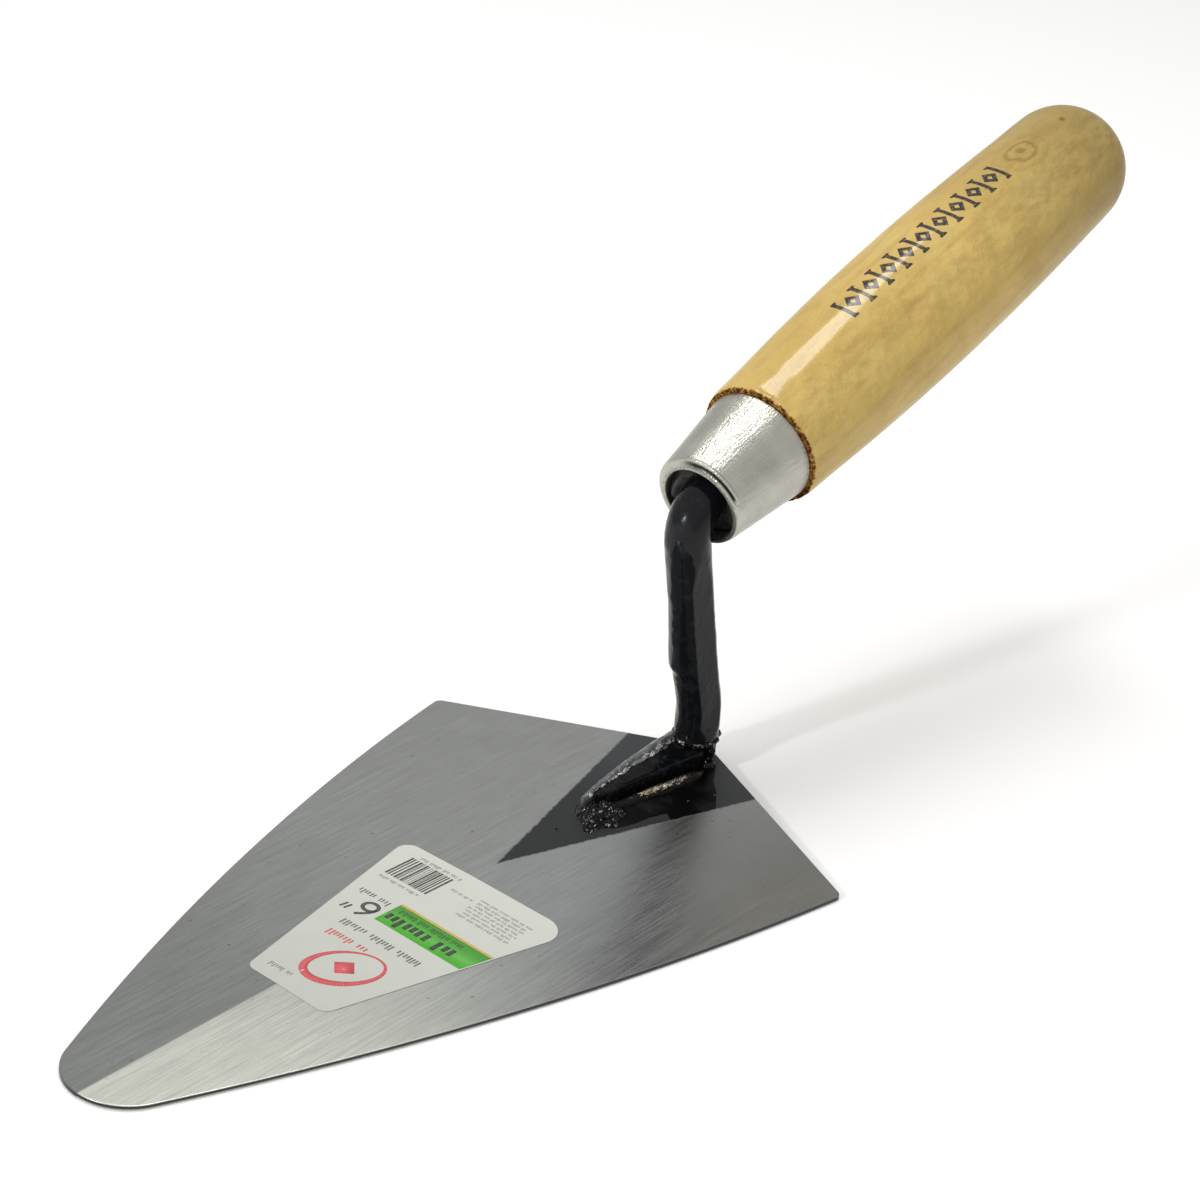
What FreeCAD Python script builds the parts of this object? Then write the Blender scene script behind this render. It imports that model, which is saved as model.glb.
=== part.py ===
"""Brick trowel, six-inch Philadelphia pattern: one STEP file for each separate piece.

Frame: +X runs forward to the blade's tip, +Y to the left, +Z up.  The origin is on the blade's
flat underside, on its centre line, midway between the two heel corners.  All sizes in millimetres.
"""
import FreeCAD, Part
import math
import os

Vector = FreeCAD.Vector

# Blade
blade_length = 152.4        # heel point to tip
blade_width = 89.7          # across the heel corners
corner_setback = 23.4       # heel corners, forward of the heel point
heel_round = 3.0
corner_round = 1.5
side_bow_radius = 527.0     # the long sides bow out very slightly
tip_radius = 9.9
edge_thickness = 0.9
ridge_rise = 0.5            # the two ground facets meet in a ridge this high at the corner station

# Foot: the forged wedge welded along the blade's centre line
foot_rear_x = 5.2
foot_rear_radius = 3.7
foot_front_x = 35.6
foot_front_radius = 1.3
foot_rear_height = 4.6
foot_front_height = 3.3
foot_edge_round = 0.5

# Shank: a round rod that leans forward, then turns back into the handle
shank_radius = 4.05
shank_foot_z = 4.2
shank_knee_z = 11.0
shank_knee_radius = 20.0
shank_lean_x = 8.75
shank_lean_z = 21.3
shank_lean_radius = 60.0
shank_top_x = 17.5
shank_top_z = 52.1
shank_top_radius = 7.0

# Handle axis: distances along it are measured from the shank's corner towards the butt
handle_rise = 19.64         # degrees above the blade
axis_start_x = 19.67
axis_start_z = 51.33
shank_corner_s = 2.3        # where the shank's line meets the handle's axis

# Tang: the square taper that the shank's end is forged to
tang_start_s = 14.0
tang_end_s = 92.0
tang_start_side = 5.4
tang_end_side = 2.6

# Ferrule: a drawn steel cone with a rolled front lip
ferrule_front_s = 5.45
ferrule_rear_s = 23.4
ferrule_rear_radius = 10.75
ferrule_slope = 0.1254      # radius gained per millimetre of length
ferrule_wall = 0.8
lip_section_radius = 0.75
crease_depth = 0.18
crease_width = 0.7

# Handle: turned wood
spigot_front_s = 9.5
spigot_clearance = 0.05
shoulder_radius = 11.74
shoulder_round = 0.35
belly_s = (55.9, 89.1)
belly_radii = (13.34, 13.44)
dome_start_s = 121.2
dome_radius = 12.27
bore_radius = 4.2
bore_end_s = 94.0
cement_collar_radius = 6.6
cement_collar_length = 0.9

# Label: a paper sticker on the blade, its corners forward of the heel point and left of centre
label_corners = ((65.5, -15.0), (111.5, -6.7), (112.3, 10.3), (66.5, 22.1))
label_rounds = (2.4, 1.8, 2.2, 4.4)
label_thickness = 0.12

# Weld metal: (forward, left, up, half width, half height) along each bead
left_bead = (
    (2.2, -3.4, 0.9, 0.6, 1.2),
    (4.0, -3.8, 1.4, 1.6, 2.9),
    (7.0, -3.8, 1.5, 2.0, 3.7),
    (13.0, -3.4, 1.6, 1.9, 3.8),
    (23.0, -2.7, 1.3, 1.7, 3.3),
    (31.0, -2.1, 1.0, 1.4, 2.9),
    (35.0, -1.8, 0.8, 1.1, 2.2),
)
right_bead = (
    (7.6, 3.9, 0.4, 0.4, 0.6),
    (9.5, 3.8, 0.4, 1.1, 1.2),
    (14.0, 3.4, 0.4, 1.4, 1.5),
    (22.0, 2.7, 0.4, 1.4, 1.5),
    (28.0, 2.1, 0.4, 1.1, 1.3),
    (30.5, 1.8, 0.4, 0.4, 0.6),
)
toe_blob = ((35.6, -0.6, 0.5), (4.9, 4.3, 2.8))
heel_drip = ((5.6, 4.1, 0.7), (1.9, 1.5, 1.6))
shank_weld_z = 5.1
shank_weld_radius = 4.1
shank_weld_section = 1.15
# droplets of spatter: forward, left, radius
spatter = ((39.1, -0.2, 0.5), (26.4, 6.7, 0.4), (18.7, 9.1, 0.55), (29.0, 14.5, 0.35), (13.6, 11.0, 0.6))

BIG = 400.0


def spot(forward, left, up):
    """Point given forward of the heel point, left of the centre line, up from the blade's edge."""
    return Vector(forward - corner_setback, left, up + edge_thickness)


def below_plane(point, normal):
    """Large block that fills the space under a plane."""
    block = Part.makeBox(2 * BIG, 2 * BIG, BIG, Vector(-BIG, -BIG, -BIG))
    block.Placement = FreeCAD.Placement(point, FreeCAD.Rotation(Vector(0, 0, 1), normal))
    return block


def prism(outline, bottom, top):
    """Upright solid on a closed outline, between two heights over the underside."""
    shape = Part.Face(outline).extrude(Vector(0, 0, top - bottom))
    shape.translate(Vector(0, 0, bottom))
    return shape


def rounded_path(points, radii):
    """Straight runs through the points, with a tangent arc at each inner point."""
    edges = []
    start = points[0]
    for before, corner, after, radius in zip(points, points[1:], points[2:], radii):
        inward = (before - corner).normalize()
        outward = (after - corner).normalize()
        half_turn = (math.pi - inward.getAngle(outward)) / 2
        setback = radius * math.tan(half_turn)
        first = corner + inward * setback
        last = corner + outward * setback
        middle_way = (inward + outward).normalize()
        middle = corner + middle_way * (radius / math.cos(half_turn) - radius)
        edges.append(Part.LineSegment(start, first).toShape())
        edges.append(Part.Arc(first, middle, last).toShape())
        start = last
    edges.append(Part.LineSegment(start, points[-1]).toShape())
    return Part.Wire(edges)


def rounded_polygon(points, radii):
    """Closed outline with an arc at every corner."""
    half = (points[0] + points[-1]) * 0.5
    wire = rounded_path([half] + points + [half], radii)
    return Part.Wire(wire.Edges)


# ---------------------------------------------------------------- blade and label

def facets(lift):
    """The space under the blade's two ground facets, raised by a lift."""
    half_width = blade_width / 2
    reach = blade_length - corner_setback
    ridge = Vector(0, 0, edge_thickness + ridge_rise + lift)
    sides = []
    for side in (1, -1):
        normal = Vector(ridge_rise / reach, side * ridge_rise / half_width, 1).normalize()
        sides.append(below_plane(ridge, normal))
    return sides[0].common(sides[1])


def blade_outline():
    """Kite-shaped outline: straight heel edges, long sides bowed by an arc, and a round tip."""
    heel = spot(0, 0, 0)
    heel.z = 0
    corner = Vector(0, blade_width / 2, 0)
    tip = Vector(blade_length - corner_setback, 0, 0)
    tip_centre = tip - Vector(tip_radius, 0, 0)
    # centre of the side arc: one radius from the corner, and inside-tangent to the tip circle
    span = corner - tip_centre
    to_tip = side_bow_radius - tip_radius
    along = (to_tip ** 2 - side_bow_radius ** 2 + span.Length ** 2) / (2 * span.Length)
    across = math.sqrt(to_tip ** 2 - along ** 2)
    way = Vector(span.x, span.y, 0).normalize()
    square = Vector(way.y, -way.x, 0)
    if (tip_centre + way * along + square * across).y > 0:
        square = square * -1
    centre = tip_centre + way * along + square * across
    tangent = centre + (tip_centre - centre).normalize() * side_bow_radius
    chord_middle = (corner + tangent) * 0.5
    bow = centre + (chord_middle - centre).normalize() * side_bow_radius

    def mirrored(point):
        return Vector(point.x, -point.y, 0)

    return Part.Wire([
        Part.LineSegment(heel, corner).toShape(),
        Part.Arc(corner, bow, tangent).toShape(),
        Part.Arc(tangent, tip, mirrored(tangent)).toShape(),
        Part.Arc(mirrored(tangent), mirrored(bow), mirrored(corner)).toShape(),
        Part.LineSegment(mirrored(corner), heel).toShape(),
    ])


def upright_edges(shape, x, y):
    """The upright edges of a prism that stand at x and at plus or minus y."""
    found = []
    for edge in shape.Edges:
        ends = [vertex.Point for vertex in edge.Vertexes]
        if len(ends) == 2 and all(math.hypot(end.x - x, abs(end.y) - y) < 0.01 for end in ends):
            found.append(edge)
    return found


def make_blade():
    """Thin forged blade, flat below, with two facets above that meet along the centre line."""
    plate = prism(blade_outline(), 0, edge_thickness + 2 * ridge_rise)
    plate = plate.makeFillet(corner_round, upright_edges(plate, 0, blade_width / 2))
    plate = plate.makeFillet(heel_round, upright_edges(plate, -corner_setback, 0))
    return plate.common(facets(0))


def make_label():
    """Paper sticker that follows both facets."""
    corners = [Vector(x - corner_setback, y, 0) for x, y in label_corners]
    sheet = prism(rounded_polygon(corners, label_rounds), 0, 2 * edge_thickness)
    return sheet.common(facets(label_thickness)).cut(facets(0))


# ---------------------------------------------------------------- foot, shank and welds

def make_foot():
    """Wedge with round ends that tapers forward along the blade."""
    rear = Vector(foot_rear_x - corner_setback, 0, 0)
    front = Vector(foot_front_x - corner_setback, 0, 0)
    lean = math.asin((foot_rear_radius - foot_front_radius) / (front.x - rear.x))
    sides = []
    for centre, radius in ((rear, foot_rear_radius), (front, foot_front_radius)):
        sides.append(centre + Vector(radius * math.sin(lean), radius * math.cos(lean), 0))
        sides.append(centre + Vector(radius * math.sin(lean), -radius * math.cos(lean), 0))
    rear_end = rear - Vector(foot_rear_radius, 0, 0)
    front_end = front + Vector(foot_front_radius, 0, 0)
    outline = Part.Wire([
        Part.Arc(sides[1], rear_end, sides[0]).toShape(),
        Part.LineSegment(sides[0], sides[2]).toShape(),
        Part.Arc(sides[2], front_end, sides[3]).toShape(),
        Part.LineSegment(sides[3], sides[1]).toShape(),
    ])
    drop = (foot_rear_height - foot_front_height) / (foot_front_x - foot_rear_x)
    top = below_plane(spot(foot_rear_x, 0, foot_rear_height), Vector(drop, 0, 1).normalize())
    wedge = prism(outline, 0, 2 * foot_rear_height).common(top)
    rim = [edge for edge in wedge.Edges if edge.BoundBox.ZMin > foot_front_height]
    wedge = wedge.makeFillet(foot_edge_round, rim)
    return wedge.cut(facets(0))


def along_handle(distance):
    """Point on the handle's axis."""
    rise = math.radians(handle_rise)
    return spot(axis_start_x - distance * math.cos(rise), 0, axis_start_z + distance * math.sin(rise))


def on_handle(shape):
    """Carry a shape built about the Z axis onto the handle's axis."""
    turn = FreeCAD.Rotation(Vector(0, 1, 0), handle_rise - 90)
    shape.Placement = FreeCAD.Placement(along_handle(0), turn).multiply(shape.Placement)
    return shape


def make_tang():
    """Square taper along the handle's axis."""
    ends = []
    for distance, side in ((tang_start_s, tang_start_side), (tang_end_s, tang_end_side)):
        half = side / 2
        corners = [Vector(half, half, distance), Vector(-half, half, distance),
                   Vector(-half, -half, distance), Vector(half, -half, distance)]
        ends.append(Part.makePolygon(corners + corners[:1]))
    return on_handle(Part.makeLoft(ends, True, True))


def make_shank():
    """Round rod on one bent line from the foot into the handle, with its tang."""
    line = rounded_path(
        [spot(foot_rear_x, 0, shank_foot_z), spot(foot_rear_x, 0, shank_knee_z),
         spot(shank_lean_x, 0, shank_lean_z), along_handle(shank_corner_s),
         along_handle(tang_start_s)],
        (shank_knee_radius, shank_lean_radius, shank_top_radius))
    section = Part.Wire(Part.Circle(line.Vertexes[0].Point, Vector(0, 0, 1), shank_radius).toShape())
    rod = line.makePipeShell([section], True, True)
    return rod.fuse(make_tang()).removeSplitter()


def bead(stations):
    """Weld bead: one solid through oval cross-sections."""
    ovals = []
    for forward, left, up, half_width, half_height in stations:
        centre = spot(forward, left, up)
        oval = Part.Ellipse(centre + Vector(0, 0, half_height), centre + Vector(0, half_width, 0), centre)
        ovals.append(Part.Wire(oval.toShape()))
    return Part.makeLoft(ovals, True, True)


def blob(centre, halves):
    """Oval lump of weld metal."""
    stretch = FreeCAD.Matrix()
    stretch.scale(Vector(*halves))
    lump = Part.makeSphere(1.0).transformGeometry(stretch)
    lump.translate(spot(*centre))
    return lump


def make_shank_weld():
    """Ring of weld metal round the shank where it stands on the foot."""
    return Part.makeTorus(shank_weld_radius, shank_weld_section, spot(foot_rear_x, 0, shank_weld_z))


def make_spatter():
    """Small droplets thrown onto the blade beside the foot."""
    drops = []
    for forward, left, radius in spatter:
        drops.append(Part.makeSphere(radius, spot(forward, left, ridge_rise)))
    return Part.makeCompound(drops)


# ---------------------------------------------------------------- ferrule, handle and cement

def turned(profile):
    """Revolve a closed profile of (radius, distance) edges about the handle's axis."""
    return on_handle(Part.Face(Part.Wire(profile)).revolve(Vector(0, 0, 0), Vector(0, 0, 1), 360))


def line_of(*points):
    """Straight edges through (radius, distance) points."""
    spots = [Vector(radius, 0, distance) for radius, distance in points]
    return [Part.LineSegment(a, b).toShape() for a, b in zip(spots, spots[1:])]


def cone_radius(distance):
    """Outside radius of the ferrule's cone."""
    return ferrule_rear_radius - ferrule_slope * (ferrule_rear_s - distance)


def make_ferrule():
    """Hollow cone with a rolled lip at its mouth and a fine crease behind the lip."""
    lip_s = ferrule_front_s + lip_section_radius
    lip_r = cone_radius(lip_s) - lip_section_radius
    crease_s = lip_s + crease_width
    behind_s = crease_s + crease_width
    lip_out = Vector(lip_r + lip_section_radius, 0, lip_s)
    lip_front = Vector(lip_r, 0, ferrule_front_s)
    lip_in = Vector(lip_r - lip_section_radius, 0, lip_s)
    profile = [Part.Arc(lip_in, lip_front, lip_out).toShape()]
    profile += line_of((lip_out.x, lip_s),
                       (cone_radius(crease_s) - crease_depth, crease_s),
                       (cone_radius(behind_s), behind_s),
                       (ferrule_rear_radius, ferrule_rear_s),
                       (ferrule_rear_radius - ferrule_wall, ferrule_rear_s),
                       (cone_radius(behind_s) - ferrule_wall, behind_s),
                       (lip_in.x, lip_s))
    return turned(profile)


def make_handle():
    """Turned wood: a spigot for the ferrule, a full belly and a domed butt, bored for the tang."""
    inset = ferrule_wall + spigot_clearance
    dome_end = dome_start_s + dome_radius
    belly = Part.BSplineCurve()
    belly.interpolate(
        Points=[Vector(shoulder_radius, 0, ferrule_rear_s + shoulder_round),
                Vector(belly_radii[0], 0, belly_s[0]),
                Vector(belly_radii[1], 0, belly_s[1]),
                Vector(dome_radius, 0, dome_start_s)])
    dome_middle = dome_radius * math.sqrt(0.5)
    dome = Part.Arc(Vector(dome_radius, 0, dome_start_s),
                    Vector(dome_middle, 0, dome_start_s + dome_middle),
                    Vector(0, 0, dome_end)).toShape()
    profile = line_of((0, spigot_front_s),
                      (cone_radius(spigot_front_s) - inset, spigot_front_s),
                      (ferrule_rear_radius - inset, ferrule_rear_s),
                      (shoulder_radius - shoulder_round, ferrule_rear_s),
                      (shoulder_radius, ferrule_rear_s + shoulder_round))
    profile += [belly.toShape(), dome]
    profile += line_of((0, dome_end), (0, spigot_front_s))
    return turned(profile).cut(make_bore())


def make_bore():
    """Round hole in the handle that the tang is set in."""
    depth = bore_end_s - spigot_front_s
    return on_handle(Part.makeCylinder(bore_radius, depth, Vector(0, 0, spigot_front_s)))


def make_cement(shank):
    """Resin that fills the bore round the tang and stands in a low collar at the mouth."""
    collar = on_handle(Part.makeCylinder(cement_collar_radius, cement_collar_length,
                                         Vector(0, 0, spigot_front_s - cement_collar_length)))
    return make_bore().fuse(collar).cut(shank).removeSplitter()


def main():
    """Build every piece and write each as its own STEP file."""
    blade = make_blade()
    foot = make_foot()
    shank = make_shank().cut(foot)
    # weld metal fills only what the foot, the shank and the space under the facets leave free
    steel = facets(0).fuse([foot, shank])
    shank_weld = make_shank_weld().cut(steel)
    left_weld = bead(left_bead).cut(steel).cut(shank_weld)
    right_weld = bead(right_bead).cut(steel)
    toe_weld = blob(*toe_blob).cut(steel).cut(left_weld).cut(right_weld)
    heel_weld_drip = blob(*heel_drip).cut(steel).cut(shank_weld).cut(right_weld)
    pieces = {
        "blade": blade,
        "foot": foot,
        "shank": shank,
        "shank_weld": shank_weld,
        "left_weld": left_weld,
        "right_weld": right_weld,
        "toe_weld": toe_weld,
        "heel_weld_drip": heel_weld_drip,
        "weld_spatter": make_spatter().cut(facets(0)),
        "ferrule": make_ferrule(),
        "handle": make_handle(),
        "tang_cement": make_cement(shank),
        "label": make_label(),
    }
    os.makedirs("parts", exist_ok=True)
    for name, shape in pieces.items():
        shape.exportStep("parts/" + name + ".step")
        print(name, shape.isValid(), len(shape.Solids), round(shape.Volume, 2), shape.BoundBox)


main()
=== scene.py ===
import logging
import math
from collections.abc import Callable
from dataclasses import dataclass
from enum import Enum

import bpy
import numpy as np
from mathutils import Matrix, Vector


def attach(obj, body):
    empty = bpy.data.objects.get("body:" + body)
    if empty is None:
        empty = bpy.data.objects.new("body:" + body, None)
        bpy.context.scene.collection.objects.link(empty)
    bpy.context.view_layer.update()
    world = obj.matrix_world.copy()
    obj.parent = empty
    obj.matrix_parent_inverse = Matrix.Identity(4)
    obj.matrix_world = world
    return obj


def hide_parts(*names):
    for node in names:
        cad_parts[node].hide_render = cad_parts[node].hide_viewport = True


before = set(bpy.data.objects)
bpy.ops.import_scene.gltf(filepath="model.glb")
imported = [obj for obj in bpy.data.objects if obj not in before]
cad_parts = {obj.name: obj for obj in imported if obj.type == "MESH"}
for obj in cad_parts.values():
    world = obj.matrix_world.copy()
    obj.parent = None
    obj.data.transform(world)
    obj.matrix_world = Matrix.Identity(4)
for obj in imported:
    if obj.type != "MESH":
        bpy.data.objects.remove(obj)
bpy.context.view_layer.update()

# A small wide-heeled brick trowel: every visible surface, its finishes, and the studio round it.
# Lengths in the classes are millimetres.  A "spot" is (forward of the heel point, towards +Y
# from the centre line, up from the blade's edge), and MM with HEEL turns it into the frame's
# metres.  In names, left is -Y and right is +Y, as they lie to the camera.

logging.basicConfig(level=logging.INFO, format="%(name)s: %(message)s")
log = logging.getLogger("trowel")

MM = 0.001
HEEL = np.array([-23.4, 0.0, 0.9])      # the heel point on the blade's edge plane, in frame mm
ROOT_LEVEL = 0.4                        # height inside the plate where weld metal ends
FLAT_ANGLE = math.radians(77.0)         # which way the shank's flat faces, from +X towards +Y
SIDEWAYS = np.array([0.0, 1.0, 0.0])

Socket = bpy.types.NodeSocket
Height = Callable[[np.ndarray, np.ndarray], np.ndarray]     # a height as a function of x and y


class Slot(Enum):
    """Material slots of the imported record."""

    STEEL = "ground_steel"
    ENAMEL = "black_enamel"
    WELD = "weld_metal"
    NICKEL = "nickel_plate"
    WOOD = "lacquered_wood"
    RESIN = "resin"
    STICKER = "sticker"


# ---------------------------------------------------------------------------------- numbers

def linear(code: str) -> tuple[float, float, float, float]:
    """Turn an sRGB hex colour into linear light.

    Args:
        code: colour as "#rrggbb".

    Returns:
        Linear red, green, blue and an alpha of one.
    """
    parts = np.array([int(code[i:i + 2], 16) for i in (1, 3, 5)]) / 255.0
    light = np.where(parts <= 0.04045, parts / 12.92, ((parts + 0.055) / 1.055) ** 2.4)
    return (*light.tolist(), 1.0)


def ease(value: np.ndarray, low: float, high: float) -> np.ndarray:
    """Smooth step: 0 below low, 1 above high, and 3t^2 - 2t^3 between them."""
    part = np.clip((value - low) / (high - low), 0.0, 1.0)
    return part * part * (3.0 - 2.0 * part)


def window(value: np.ndarray, start: float, full: float, fade: float, end: float) -> np.ndarray:
    """Eased window: rises from start to full and falls from fade to end."""
    return ease(value, start, full) * (1 - ease(value, fade, end))


def unit(way: np.ndarray) -> np.ndarray:
    """The vector at length one."""
    return way / np.linalg.norm(way)


def circle(turn: np.ndarray) -> np.ndarray:
    """Points of the unit circle at the given angles."""
    return np.stack([np.cos(turn), np.sin(turn)], axis=-1)


def full_turn(count: int) -> np.ndarray:
    """Evenly spaced angles once round."""
    return np.linspace(0.0, 2 * math.pi, count, endpoint=False)


def turned_from(angle: np.ndarray, zero: float) -> np.ndarray:
    """Angles measured from zero the short way round, -pi to pi."""
    return np.mod(angle - zero + math.pi, 2 * math.pi) - math.pi


def walked(line: np.ndarray) -> np.ndarray:
    """Length walked along a broken line to each of its points."""
    steps = np.linalg.norm(np.diff(line, axis=0), axis=1)
    return np.concatenate([[0.0], np.cumsum(steps)])


def spread(line: np.ndarray, lengths: np.ndarray) -> np.ndarray:
    """Points of a broken line after the given lengths."""
    known = walked(line)
    return np.stack([np.interp(lengths, known, axis) for axis in line.T], axis=-1)


def cloud(points: np.ndarray, cell: float, seed: int, octaves: int = 3) -> np.ndarray:
    """Smooth lattice noise: random corner values, eased and blended inside each cell.

    Args:
        points: places, the last axis holding x, y and z.
        cell: size of the largest lumps, in the points' unit.
        seed: picks the lattice.
        octaves: layers, each half as large and half as strong.

    Returns:
        Noise of about -1 to 1, one value for each point.
    """
    total = np.zeros(points.shape[:-1])
    for octave in range(octaves):
        lattice = np.random.default_rng(seed + octave).uniform(-1.0, 1.0, (32, 32, 32))
        place = points / cell * 2.0 ** octave + 16.37
        base = np.floor(place).astype(int)
        part = place - base
        part = part * part * (3.0 - 2.0 * part)
        for corner in np.ndindex(2, 2, 2):
            step = np.array(corner)
            at = (base + step) % 32
            weight = np.prod(np.where(step == 1, part, 1.0 - part), axis=-1)
            total += weight * lattice[at[..., 0], at[..., 1], at[..., 2]] / 2.0 ** octave
    return total


def outward(rings: np.ndarray) -> np.ndarray:
    """Unit normals of a ring stack: across the rings crossed with along them."""
    along = np.roll(rings, -1, axis=1) - np.roll(rings, 1, axis=1)
    across = np.gradient(rings, axis=0)
    normal = np.cross(along, across)
    return normal / np.maximum(np.linalg.norm(normal, axis=-1, keepdims=True), 1e-9)


# ---------------------------------------------------------------------------------- meshes

def shell(name: str, rings: np.ndarray, poles: tuple[np.ndarray, np.ndarray] | None = None,
          extra: dict[str, np.ndarray] | None = None) -> bpy.types.Object:
    """Closed mesh through a stack of closed rings, facing outwards.

    Args:
        name: the piece's name.
        rings: frame millimetres, shaped (rings, points in a ring, 3).
        poles: end points that close the first and last ring; without them the last ring
            joins the first, as in a bush.
        extra: attributes for the materials, a vector or a number for each point.

    Returns:
        The new object, at the origin.
    """
    rows, columns = rings.shape[:2]
    index = np.arange(rows * columns).reshape(rows, columns)
    near, far = (index, np.roll(index, -1, axis=0)) if poles is None else (index[:-1], index[1:])
    quads = np.stack([near, np.roll(near, -1, axis=1), np.roll(far, -1, axis=1), far], axis=-1)
    faces = quads.reshape(-1, 4).tolist()
    points = rings.reshape(-1, 3)
    if poles is not None:
        points = np.vstack([points, poles[0], poles[1]])
        first, last = index[0], index[-1]
        start, end = len(points) - 2, len(points) - 1
        faces += [[start, b, a] for a, b in zip(first.tolist(), np.roll(first, -1).tolist())]
        faces += [[end, a, b] for a, b in zip(last.tolist(), np.roll(last, -1).tolist())]
    corners = points[quads.reshape(-1, 4)]
    volume = np.einsum("ij,ij->i", corners[:, 0], np.cross(corners[:, 1], corners[:, 2])).sum()
    volume += np.einsum("ij,ij->i", corners[:, 0], np.cross(corners[:, 2], corners[:, 3])).sum()
    if volume < 0:
        faces = [face[::-1] for face in faces]
    piece = mesh_piece(name, points, faces)
    for key, values in (extra or {}).items():
        vectors = values if values.ndim == rings.ndim else values[..., None]
        flat = np.broadcast_to(vectors, rings.shape).reshape(-1, 3)
        if poles is not None:
            flat = np.vstack([flat, flat[0], flat[-1]])
        layer = piece.data.attributes.new(key, "FLOAT_VECTOR", "POINT")
        layer.data.foreach_set("vector", flat.astype(np.float32).ravel())
    return piece


def mesh_piece(name: str, points: np.ndarray, faces: list[list[int]]) -> bpy.types.Object:
    """Smooth-shaded mesh object from millimetre points and faces."""
    mesh = bpy.data.meshes.new(name)
    mesh.from_pydata((points * MM).tolist(), [], faces)
    mesh.polygons.foreach_set("use_smooth", np.ones(len(mesh.polygons), dtype=bool))
    mesh.update()
    piece = bpy.data.objects.new(name, mesh)
    bpy.context.scene.collection.objects.link(piece)
    return piece


def sharpen(piece: bpy.types.Object, keep: np.ndarray) -> None:
    """Mark as sharp every edge whose two ends are in the keep mask (one flag for each vertex)."""
    mesh = piece.data
    ends = np.zeros(len(mesh.edges) * 2, dtype=np.int32)
    mesh.edges.foreach_get("vertices", ends)
    flags = keep[ends.reshape(-1, 2)].all(axis=1)
    layer = mesh.attributes.new("sharp_edge", "BOOLEAN", "EDGE")
    layer.data.foreach_set("value", flags)


def enlist(piece: bpy.types.Object, slot: Slot, material: bpy.types.Material, *nodes: str) -> None:
    """Give a piece its finish, let it ride on the only body, and hide the nodes it stands for.

    Args:
        piece: the finished object.
        slot: the record's slot that the finish belongs to.
        material: what the piece shows.
        nodes: CAD nodes that it replaces.
    """
    piece.data.materials.clear()
    piece.data.materials.append(material)
    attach(piece, "root")
    if nodes:
        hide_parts(*nodes)
    log.info("%s: %d faces, %s", piece.name, len(piece.data.polygons), slot.value)


# ---------------------------------------------------------------------------------- shader graph

class Graph:
    """The node tree of a material or of the world, ready to be filled."""

    def __init__(self, name: str, world: bool = False) -> None:
        """Start a material with a Principled surface, or a world with a background."""
        self.owner = (bpy.data.worlds if world else bpy.data.materials).new(name)
        self.owner.use_nodes = True
        self.tree = self.owner.node_tree

    def add(self, kind: str, *values: object, output: str = "", **named: object) -> Socket:
        """Add a node with its settings and links.

        Args:
            kind: node type without its "ShaderNode" prefix.
            values: for the sockets in order, of those that the settings leave switched on.
            output: name of the output to hand back, if not the first that is switched on.
            named: settings in small letters, and sockets as fill takes them.

        Returns:
            The chosen output socket.
        """
        node = self.tree.nodes.new("ShaderNode" + kind)
        for key in [key for key in named if key.islower()]:
            setattr(node, key, named.pop(key))
        for socket, value in zip([socket for socket in node.inputs if socket.enabled], values):
            self.put(socket, value)
        self.fill(node, **named)
        return node.outputs[output] if output else next(s for s in node.outputs if s.enabled)

    def fill(self, node: bpy.types.Node, **named: object) -> None:
        """Fill a node's sockets, their names written with underscores for spaces."""
        for key, value in named.items():
            self.put(node.inputs[key.replace("_", " ")], value)

    def put(self, socket: Socket, value: object) -> None:
        """Link an output to a socket, or give it a number, a vector or a hex colour."""
        if isinstance(value, Socket):
            self.tree.links.new(value, socket)
        else:
            socket.default_value = linear(value) if isinstance(value, str) else value

    def masked(self, mask: Socket, value: Socket, *ramps: tuple[float, float]) -> Socket:
        """Multiply a mask by ramps over a length.

        Args:
            mask: what the ramps are multiplied into.
            value: the length, in metres.
            ramps: for each ramp, where it is zero and where it is one, in millimetres.

        Returns:
            The product.
        """
        for none, full in ramps:
            part = self.add("MapRange", Value=value, From_Min=none * MM, From_Max=full * MM)
            mask = self.add("Math", mask, part, operation="MULTIPLY")
        return mask

    def apart(self, one: Socket, other: float) -> Socket:
        """How far a value is from a number."""
        gap = self.add("Math", one, other, operation="SUBTRACT")
        return self.add("Math", gap, operation="ABSOLUTE")

    def finish(self, **named: object) -> bpy.types.Material:
        """Fill the surface and hand back the material."""
        self.fill(self.tree.nodes["Principled BSDF"], **named)
        return self.owner


# ---------------------------------------------------------------------------------- finishes

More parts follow.
